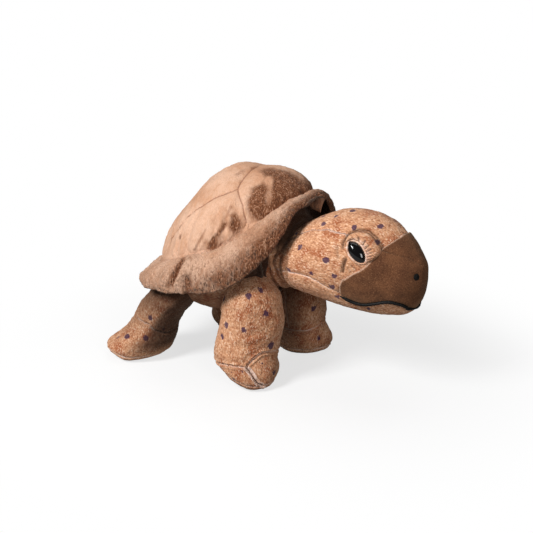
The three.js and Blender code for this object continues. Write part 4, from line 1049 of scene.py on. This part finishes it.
lid_finish = printed_plush("printed plush, eyelid", (2.0, 1, 1))
rim_finish = printed_plush("printed plush, eye rim", (2.0, 1, 1))
eye_finish = plastic("eye plastic", 9, 7, 8, 0.07)
washer_finish = plastic("washer plastic", 225, 222, 214, 0.4)
for side, hand in HANDS:
    middle, long, short, out = eye_frame(side)

    def eye_point(down, turn):
        """A flattened dome over the almond: height by the cosine, reach by the sine of three eighths of a
        turn times down, which curls it back under its edge."""
        a, b = eye_outline(turn * 2 * np.pi)
        swing = down * np.pi * 0.75
        reach = np.sin(swing) * (down < 1)
        lift = EYE_DOME * np.cos(swing) * np.where(down > 0.667, 0.6, 1)
        return middle + (a * reach)[:, None] * long + (b * reach)[:, None] * short + (lift - 0.3)[:, None] * out

    points, faces, down, turn = closed_skin(*EYE_GRID, eye_point)
    eye = make_piece(f"eye_{hand}_dome", points, faces, eye_finish)
    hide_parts(f"eye_{hand}")
    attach(eye, "head")

    a, b = eye_outline(np.linspace(0, 2 * np.pi, 97))
    path = middle + (a * 1.06)[:, None] * long + (b * 1.08)[:, None] * short
    place, away = head_frame(*path[:, SIDE_VIEW].T, side)
    knobs = 0.95 + 0.12 * np.sin(np.linspace(0, 150, len(path)))
    rim = tube(f"eye_rim_{hand}", place + away * 0.5, knobs, rim_finish, seam=1.2, dot=FAR, shade=0.0)
    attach(rim, "head")

    a, b = eye_outline(np.linspace(np.pi - 0.2, 0.15, LID_SECTIONS))
    edge = middle + (a * 1.1)[:, None] * long - (b * 1.15 * side)[:, None] * short
    outer, inner = smooth_path(LID_OUTER, LID_SECTIONS), edge[:, SIDE_VIEW]
    share = np.append(np.linspace(0, 1, LID_OVER, endpoint=False), np.linspace(1, 0, LID_UNDER, endpoint=False))
    columns = len(share)
    flat = mix(outer[:, None], inner[:, None], share[None, :, None])
    place, away = head_frame(flat[..., 0].ravel(), flat[..., 1].ravel(), side)
    along = np.repeat(np.linspace(0, 1, LID_SECTIONS), columns)
    s, over = np.tile(share, LID_SECTIONS), np.tile(np.arange(columns) < LID_OVER, LID_SECTIONS)
    puff = LID_PUFF * np.sqrt(np.clip(s * 2.2, 0, 1)) * np.sqrt(np.clip(1 - ((s - 0.55) / 0.5) ** 2, 0.12, 1))
    wrinkle = np.sin(along * 66 + 2.5 * np.sin(along * 9) + s)
    puff = puff * fade(along, 0, 0.12) * fade(along, 1, 0.88) + 0.45 * wrinkle * fade(s, 0.35, 0.7)
    points = place + away * np.where(over, puff + 0.3, -0.6)[:, None]
    here, after = bands(LID_SECTIONS, columns)
    quads = np.stack([here, here + columns, after + columns, after], -1).reshape(-1, 4)
    ends = np.arange(len(points)).reshape(LID_SECTIONS, columns)[[0, -1]]
    caps = np.array([ends[0], ends[1][::-1]])
    if side > 0:
        quads, caps = quads[:, ::-1], caps[:, ::-1]
    dots = add_dots(points, away, [(163.2, side * 21.3, 139.5, 2.2)], count=0, spacing=9, seed=1)
    # Painted shade on the lid: a dark line in the groove at its outer edge, the gaps between its wrinkles and its
    # lower end; the part tucked under is shaded too.
    dark = np.maximum.reduce([
        0.75 * bell(s, 0, 0.12), 0.7 * fade(wrinkle, -0.4, -0.95) * fade(s, 0.4, 0.7), 0.5 * fade(along, 0.78, 0.95),
    ])
    lid = make_piece(
        f"upper_eyelid_{hand}_fold", points, [quads, caps], lid_finish,
        seam=np.where(over, 1.3 + 3 * np.abs(s - 0.85), FAR), dot=dots, shade=np.where(over, dark, 0.6),
    )
    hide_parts(f"upper_eyelid_{hand}")
    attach(lid, "head")
    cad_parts[f"eye_washer_{hand}"].data.materials.clear()
    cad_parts[f"eye_washer_{hand}"].data.materials.append(washer_finish)

# The mouth and nostrils: black satin cord laid along the seam under the beak, and two knots of it.
MOUTH_CORD = 2.6
NOSTRIL_WIDTH = 8.0
NOSTRIL_RISE = 1.8
NOSTRIL_SUNK = 1.5
NOSTRIL_GRID = (25, 48)


def thread_finish():
    """Twisted black thread with a satin shine."""
    thread = Finish("black thread")
    strand = thread.noise(0.9, (1, 1, 2.5), detail=2.0)
    return thread.surface(
        Base_Color=paint(10, 8, 7), Roughness=strand * 0.3 + 0.6, Normal=thread.bump(strand, 0.3),
        Specular_IOR_Level=0.25,
    )


black_thread = thread_finish()
flat = smooth_path(on_head(MOUTH_SHARES), 90)
halves = []
for side in (-1, 1):
    place, out = head_frame(*flat.T, side)
    halves.append(place + out * mix(0.75, -0.3, fade(flat[:, 0], 180, 190))[:, None])
path = smooth_path(np.vstack([halves[0][::6], halves[1][::-6]]), 260)
share = np.linspace(0, 1, len(path))
tapered = np.minimum(np.sqrt(np.clip(np.sin(share * np.pi), 0, 1) * 8), 1)
cord = tube("mouth_cord", path, MOUTH_CORD / 2 * tapered * (1 + 0.07 * np.sin(share * 420)) + 0.02, black_thread)
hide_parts("mouth_stitching")
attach(cord, "head")
for side, hand in HANDS:
    middle, out = head_frame(*NOSTRIL_PLACE, side)
    along = np.cross(out, (0, 0, 1.0))
    along /= np.linalg.norm(along)
    up = np.cross(along, out)

    def knot_point(down, turn):
        """A flat oval cushion: reach by the sine and lift by the cosine of a half turn times down."""
        swing, angle = down * np.pi, turn * 2 * np.pi
        reach = NOSTRIL_WIDTH / 2 * np.sin(swing)
        ways = (reach * np.cos(angle))[:, None] * along * 0.85 + (reach * np.sin(angle))[:, None] * up
        return middle + ways + (NOSTRIL_RISE * np.cos(swing) - NOSTRIL_SUNK)[:, None] * out

    points, faces, down, turn = closed_skin(*NOSTRIL_GRID, knot_point)
    points = points + normals_of(points, faces) * (0.12 * noise(points, 0.9, 2))[:, None]
    knot = make_piece(f"nostril_{hand}_knot", points, faces, black_thread)
    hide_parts(f"nostril_{hand}")
    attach(knot, "head")

# The legs: tubes of printed plush sewn to the belly, each with a foot panel round the toes and an oval
# sole, over fibre. The seams pull in, and a dart shapes each toe.
SPLAY = 45.0
SOLE_SEAM = 6.0
FRONT_WIDTH = 50
REAR_WIDTH = 48
FOOT_LENGTH = 56
# Where the half ball over the hip ends and the flat sole begins, as shares of the way down the skin.
BALL_END = 0.3
SOLE_START = 0.92
LEG_GRID = (211, 220)
ANKLE_RELIEF = (1.2, 0.8, 1.6, 4)
SOLE_RELIEF = (0.8, 0.8, 0.5, 3)
FRONT_DART_RELIEF = (2.0, 0.8, 0.6, 4)
REAR_TOE_RELIEF = (1.4, 0.8, 0.6, 4)
UP_SEAM_RELIEF = (0.6, 0.8, 0.6, 4)
# To the right in the photograph.
PHOTO_RIGHT = (0.84, 0.54, 0)
FRONT_LEG_SHARES = [
    (1, 0, 0.44, 0.5), (0.75, 0.01, 0.42, 0.54), (0.55, 0.01, 0.42, 0.56), (0.4, 0.01, 0.43, 0.56),
    (0.3, 0.03, 0.44, 0.55), (0.18, 0.06, 0.46, 0.53), (0.08, 0.08, 0.44, 0.47), (0.03, 0.08, 0.38, 0.4),
    (0, 0.08, 0.29, 0.3),
]
REAR_LEG_SHARES = [
    (1, 0, 0.43, 0.5), (0.75, 0.04, 0.4, 0.49), (0.5, 0.08, 0.39, 0.48), (0.36, 0.09, 0.42, 0.49),
    (0.22, 0.12, 0.49, 0.52), (0.12, 0.13, 0.51, 0.5), (0.05, 0.13, 0.46, 0.45), (0, 0.13, 0.3, 0.3),
]
# Each leg: hip, foot, table, width, way of the toes, dots seen in the photograph.
LEGS = {
    "front_right": (
        (54, -37, 70), (53, -42), FRONT_LEG_SHARES, FRONT_WIDTH, -SPLAY,
        [
            (37.5, -54, 75.9, 2.0), (63.1, -54.9, 83.1, 2.2), (68.9, -45.8, 87.3, 2.1), (74.7, -48.6, 69, 2.3),
            (45.4, -62.4, 56.3, 2.2), (61.6, -60, 54.9, 2.3), (41.6, -62.3, 45, 2.2), (76.5, -43, 38.4, 3.2),
            (54.6, -67.2, 16.7, 2.0), (62.7, -64.2, 18.5, 1.9), (72.4, -51.9, 23.6, 2.0), (81.5, -43.6, 14.3, 2.2),
            (57.5, -70.7, 11.3, 1.8),
        ],
    ),
    "front_left": (
        (54, 37, 70), (53, 42), FRONT_LEG_SHARES, FRONT_WIDTH, SPLAY,
        [(76.5, 25.6, 48.9, 2.2), (78.6, 32.7, 17.9, 2.2), (72, 22, 66, 2.0)],
    ),
    "rear_right": (
        (-17, -33, 72), (-59, -42), REAR_LEG_SHARES, REAR_WIDTH, 180 + SPLAY,
        [
            (-36.9, -60.8, 43.5, 2.2), (-57.9, -66.2, 22.6, 2.3), (-39.8, -64.5, 25.2, 2.1),
            (-25.7, -54.8, 31.9, 2.2), (-68.3, -64.9, 17.8, 2.1), (-60, -60, 37, 2.1), (-78, -60, 24, 2.2),
        ],
    ),
    "rear_left": ((-17, 33, 72), (-13, 48), REAR_LEG_SHARES, REAR_WIDTH, 180 - SPLAY, [(2, 40, 30, 2.0)]),
}
# Seams of each leg as paths over it. The front foot's runs round the ankle and rises in a lip over the toes,
# and a dart goes down from it; the rear foot's crosses the ankle, and another goes down at the toes.
FRONT_ANKLE = [
    (30, -34, 27), (31, -52, 22), (38.8, -61.9, 20.7), (46.3, -65.4, 21.9), (53.1, -64.8, 21.7), (59.3, -63.6, 22.2),
    (64.1, -61.2, 21.1), (66.3, -60, 24.9), (69.3, -56.8, 28.9), (72.6, -52.8, 32.4), (75.4, -47.8, 33),
    (77.8, -39.1, 31.3), (76.3, -33, 29.5), (72, -24, 28), (58, -17, 28), (42, -20, 28), (30, -34, 27),
]
FRONT_DART = [(64.4, -60.2, 20.3), (68.1, -59.7, 16), (71.9, -59.4, 11.3), (75.6, -59, 8.4), (77.5, -55.8, 5.8)]
REAR_ANKLE = [
    (-64, -40, 44), (-60, -53, 41), (-55, -59, 39.5), (-47.5, -60.2, 38.2), (-38.4, -62, 37), (-33.6, -61.3, 32.3),
    (-28, -52, 28), (-30, -36, 30), (-42, -22, 36), (-56, -24, 42), (-64, -40, 44),
]
REAR_TOE = [(-88, -61, 17), (-86, -66, 12), (-82, -68, 6)]
# Painted shade at the hip, where the leg goes under the brim.
LEG_PAINTED_SHADE = {"front_right": 0.1, "front_left": 0.35, "rear_right": 0.45, "rear_left": 0.6}
# Pushes that shape a leg's outline: place, radius, millimetres out of the cloth.
FRONT_PUSHES = [((78, -50, 14), 9, 2.0), ((70, -64, 22), 4, -1.6), ((80, -38, 56), 16, 3.2), ((60, -64, 14), 8, 0.8)]
REAR_PUSHES = [((-60, -68, 12), 13, 1.6), ((-84, -60, 22), 10, 2.0)]


def leg_point_at(hip, foot, rows, width, toes):
    """The function that gives a leg's points: a half ball over the hip, then ovals from the hip's height
    down to the sole, whose push to the toes, half length and half width come from the table. The middle
    leans evenly from hip to foot."""
    toes = math.radians(toes)

    def leg_point(down, turn):
        angle = turn * 2 * np.pi
        radius = width / 2
        climb = np.clip(down / BALL_END, 0, 1) * np.pi / 2
        share = np.clip(1 - (down - BALL_END) / (SOLE_START - BALL_END), 0, 1)
        sole = np.maximum(down - SOLE_START, 0) / (1 - SOLE_START)
        ball = down < BALL_END
        lift = np.where(ball, hip[2] + radius * np.cos(climb), hip[2] * share)
        push = np.where(ball, 0, value_at(rows, share, 1) * FOOT_LENGTH)
        depth = np.where(ball, radius * np.sin(climb), value_at(rows, share, 2) * FOOT_LENGTH * (1 - sole))
        half = np.where(ball, radius * np.sin(climb), value_at(rows, share, 3) * width * (1 - sole))
        depth = np.where(ball, depth, mix(radius, depth, fade(down, BALL_END, 0.42)))
        lean = np.minimum(lift / hip[2], 1)
        ahead = push + depth * np.cos(angle)
        across = half * np.sin(angle)
        return np.stack([
            mix(foot[0], hip[0], lean) + ahead * math.cos(toes) - across * math.sin(toes),
            mix(foot[1], hip[1], lean) + ahead * math.sin(toes) + across * math.cos(toes),
            lift,
        ], -1)

    return leg_point


def laid_on(points, path):
    """A path's places, about one every millimetre, each moved to the nearest point of the skin."""
    path = np.array(path, float)
    steps = np.linalg.norm(np.diff(path, axis=0), axis=1)
    place = np.append(0, np.cumsum(steps))
    even = np.linspace(0, place[-1], max(int(place[-1]), 2))
    dense = np.stack([np.interp(even, place, path[:, axis]) for axis in range(3)], -1)
    return [points[np.argmin(np.sum((points - one) ** 2, axis=1))] for one in dense]


def for_leg(path, name):
    """A path measured on a right leg, laid across and to the foot of the leg of that name."""
    end = name.split("_")[0]
    shift = LEGS[name][1][0] - LEGS[f"{end}_right"][1][0]
    return np.array(path, float) * (1, -1 if name.endswith("left") else 1, 1) + (shift, 0, 0)


for name, (hip, foot, rows, width, toes, dots) in LEGS.items():
    front, mirror = name.startswith("front"), -1 if name.endswith("left") else 1
    points, faces, down, turn = closed_skin(*LEG_GRID, leg_point_at(hip, foot, rows, width, toes))
    x, y, z = points.T
    # The height before the heel or toe is lifted, for the seam round the sole.
    level = z.copy()
    if name == "front_right":
        x -= 2.2 * bell(z, 28, 16)
        y -= 1.4 * bell(z, 28, 16)
        heel = fade((points[:, :2] - foot) @ (-0.8, -0.6), -4, 26)
        z += 9 * heel * fade(z, 24, 2)
    if name == "rear_right":
        x -= 5.5 * bell(z, 46, 20)
        tip = fade((points[:, :2] - foot) @ (-0.707, -0.707), 16, 34)
        z += 5 * tip * fade(z, 22, 1)
        y -= 3.0 * fade(z, 28, 8)
    normals = normals_of(points, faces)
    ankle_seam = path_distance(points, laid_on(points, for_leg(FRONT_ANKLE if front else REAR_ANKLE, name)))
    sole_seam = np.abs(level - SOLE_SEAM) + np.where(down > SOLE_START, FAR, 0)
    dart = path_distance(points, laid_on(points, for_leg(FRONT_DART if front else REAR_TOE, name)))
    climb = z / hip[2]
    inner = (y - mix(foot[1], hip[1], climb)) * mirror
    up_seam = np.abs(x - mix(foot[0] + 8, hip[0], climb))
    up_seam = np.where((z > 30) & (inner > 0), up_seam, FAR)
    lips = bell(ankle_seam, 1.8, 1.0) * (0.8 if front else 0.6)
    dart_lips = bell(dart, 1.9, 0.8) * (1 if front else 0.4)
    seam = np.minimum.reduce([ankle_seam + 0.8, sole_seam + 0.8, dart + (0 if front else 0.8), up_seam + 0.9])
    seam = np.where(dart_lips > 0.5, 1.0, seam)
    above = fade(z, 26, 34)
    height = seam_relief(ankle_seam, *ANKLE_RELIEF) + seam_relief(sole_seam, *SOLE_RELIEF) + 1.3 * lips
    height += seam_relief(dart, *(FRONT_DART_RELIEF if front else REAR_TOE_RELIEF)) + 1.1 * dart_lips
    height += seam_relief(up_seam, *UP_SEAM_RELIEF)
    for place, radius, push in FRONT_PUSHES if front else REAR_PUSHES:
        height += push * bell(away_from(points, for_leg(place, name)), 0, radius)
    height += pile(points, 0.28, 0.2) + 0.9 * noise(points * (1, 1, 1.6), 15, 6)
    height += -0.9 * above * np.clip(noise(points * (0.5, 0.5, 1.9), 13, len(name)), 0, 1)
    height *= fade(down, 0.995, 0.93) * 0.85 + 0.15
    lift = np.where(z < 2.5, 0.4, 1.0)
    # Painted shade, rising towards the hip under the brim.
    shade = LEG_PAINTED_SHADE[name] * fade(z, 40, 84)
    # The rear leg: painted shade rising to the hip and over the side turned away from the main lamp.
    if name == "rear_right":
        shade = np.interp(z, [12, 30, 44, 56, 68], [0.08, 0.32, 0.5, 0.72, 0.9])
        shade = np.maximum(shade, 0.9 * fade(normals @ PHOTO_RIGHT, -0.7, 0.15) * fade(z, 3, 20))
    # The near front foot: a little darker towards the bottom.
    if name == "front_right":
        shade = np.maximum(shade, 0.16 * fade(z, 40, 16))
    # The far front leg: painted shade on the part beside the near leg, lighter towards the foot.
    if name == "front_left":
        shade = np.maximum(shade * 0.9, 0.7 * fade(points @ PHOTO_RIGHT, 80, 60))
        shade = shade * mix(0.45, 1, fade(z, 8, 30))
    # Painted shade in the cleft of the toe's dart.
    shade = np.maximum(shade, 0.55 * bell(dart, 0, 0.7) * front)
    moved = points + normals * (height * lift)[:, None]
    moved[:, 2] = np.maximum(moved[:, 2], 0.0)
    leg = make_piece(
        f"{name}_leg_plush", moved, faces,
        printed_plush(f"printed plush, {name.replace('_', ' ')} leg", (1, 1, 1.7)),
        seam=seam, dot=add_dots(points, normals, dots, count=12, spacing=17, seed=len(name) + 40 + hip[1]),
        shade=shade,
    )
    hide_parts(f"{name}_leg_filling", f"{name}_sleeve", f"{name}_foot", f"{name}_sole")
    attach(leg, f"{name}_leg")

# The tail: a small stuffed cone of printed plush sewn under the rear of the brim. The photograph hides it.
TAIL_LENGTH = 30.0
TAIL_WIDTH = 18.0
TAIL_ROOT = (-46.0, 0.0, 76.0)
TAIL_DROOP = 30.0
TAIL_GRID = (71, 120)
TAIL_RELIEF = (0.6, 0.8, 0.4, 3)
# Along the tail from inside the trunk to its tip, as shares of the length: place, share of the half width.
TAIL_ROWS = [
    (-0.3, 0), (-0.29, 0.35), (-0.21, 0.71), (0, 1), (0.35, 0.86), (0.7, 0.58), (0.92, 0.3), (0.985, 0.12), (1, 0),
]


def tail_point(down, turn):
    """A cone along the drooping tail, its radius from the table, with a rounded root and tip."""
    along = mix(TAIL_ROWS[0][0], 1, down)
    radius = TAIL_WIDTH / 2 * np.maximum(value_at(TAIL_ROWS, along, 1), 0) * ((down > 0) & (down < 1))
    angle, droop = turn * 2 * np.pi, math.radians(TAIL_DROOP)
    across, high, back = radius * np.cos(angle), radius * np.sin(angle), along * TAIL_LENGTH
    return np.stack([
        TAIL_ROOT[0] - back * math.cos(droop) - high * math.sin(droop),
        across + TAIL_ROOT[1],
        TAIL_ROOT[2] - back * math.sin(droop) + high * math.cos(droop),
    ], -1)


points, faces, down, turn = closed_skin(*TAIL_GRID, tail_point)
normals = normals_of(points, faces)
x, y, z = points.T
middle_seam = np.where(z < TAIL_ROOT[2], np.abs(y), FAR)
height = pile(points, 0.22, 0.16) + seam_relief(middle_seam, *TAIL_RELIEF)
tail = make_piece(
    "tail_plush", points + normals * (height * fade(down, 1, 0.93))[:, None], faces,
    printed_plush("printed plush, tail", (2.0, 1, 1)), seam=middle_seam,
    dot=add_dots(points, normals, [], count=4, spacing=9, seed=2), shade=0.0,
)
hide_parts("tail_filling", "tail_skin")
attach(tail, "tail")

# The studio: a plain pale floor that only shows as a soft shadow, the main lamp high on the left, a weak
# one overhead and one on the right, and a dim lit surround. The camera was fitted to the photograph.
FLOOR_SIZE = 3.0
CAMERA_TARGET = (-0.0136, 0.00375, 0.0875)
CAMERA_AROUND = 33.0
CAMERA_UP = 20.0
CAMERA_AWAY = 1.1
CAMERA_LENS = 85.44
# Lamps: place, width, watts.
LAMPS = [
    ("key_lamp", (-0.3, -0.95, 0.9), 0.4, 18.0),
    ("top_lamp", (-0.1, 0.3, 1.2), 0.8, 2.5),
    ("fill_lamp", (1.0, -0.7, 0.6), 0.4, 3.6),
]
SURROUND = 0.07


def floor_finish():
    """Pale floor that throws little light back up, and plain white where the camera sees it away from the
    shadow."""
    floor = Finish("studio floor")
    path = floor.node("LightPath", out=0)
    away = floor.node("VectorMath", {0: floor.place}, out=1, operation="LENGTH").ramp(0.1, 0.3)
    white = floor.node("Emission", {"Color": (1, 1, 1, 1), "Strength": 1.0})
    pale = floor.node("BsdfDiffuse", {"Color": (0.9, 0.9, 0.9, 1)})
    dim = floor.node("BsdfDiffuse", {"Color": (0.3, 0.3, 0.3, 1)})
    seen = floor.node("MixShader", {0: away * 0.3 + 0.7, 1: pale, 2: white})
    floor.node("OutputMaterial", {"Surface": floor.node("MixShader", {0: path, 1: dim, 2: seen})})
    return floor.material


corners = np.array([(-1, -1), (1, -1), (1, 1), (-1, 1)]) * FLOOR_SIZE / 2
floor_mesh = bpy.data.meshes.new("studio_floor")
floor_mesh.from_pydata([(x, y, 0) for x, y in corners], [], [(0, 1, 2, 3)])
floor_mesh.materials.append(floor_finish())
floor = bpy.data.objects.new("studio_floor", floor_mesh)
bpy.context.scene.collection.objects.link(floor)

for name, place, width, watts in LAMPS:
    light = bpy.data.lights.new(name, "AREA")
    light.size, light.energy = width, watts
    lamp = bpy.data.objects.new(name, light)
    lamp.location = place
    lamp.rotation_euler = (Vector(CAMERA_TARGET) - Vector(place)).to_track_quat("-Z", "Y").to_euler()
    bpy.context.scene.collection.objects.link(lamp)

world = bpy.data.worlds.new("studio")
world.use_nodes = True
nodes, links = world.node_tree.nodes, world.node_tree.links
path = nodes.new("ShaderNodeLightPath")
seen = nodes.new("ShaderNodeMix")
links.new(path.outputs["Is Camera Ray"], seen.inputs[0])
seen.inputs[2].default_value, seen.inputs[3].default_value = SURROUND, 1.0
nodes["Background"].inputs["Color"].default_value = (1, 1, 1, 1)
links.new(seen.outputs[0], nodes["Background"].inputs["Strength"])
bpy.context.scene.world = world

around, up = math.radians(CAMERA_AROUND), math.radians(CAMERA_UP)
toward = Vector((math.sin(around) * math.cos(up), -math.cos(around) * math.cos(up), math.sin(up)))
lens = bpy.data.cameras.new("photo_camera")
lens.lens = CAMERA_LENS
camera = bpy.data.objects.new("photo_camera", lens)
camera.location = Vector(CAMERA_TARGET) + toward * CAMERA_AWAY
camera.rotation_euler = toward.to_track_quat("Z", "Y").to_euler()
bpy.context.scene.collection.objects.link(camera)
bpy.context.scene.camera = camera
bpy.context.scene.view_settings.view_transform = "Standard"
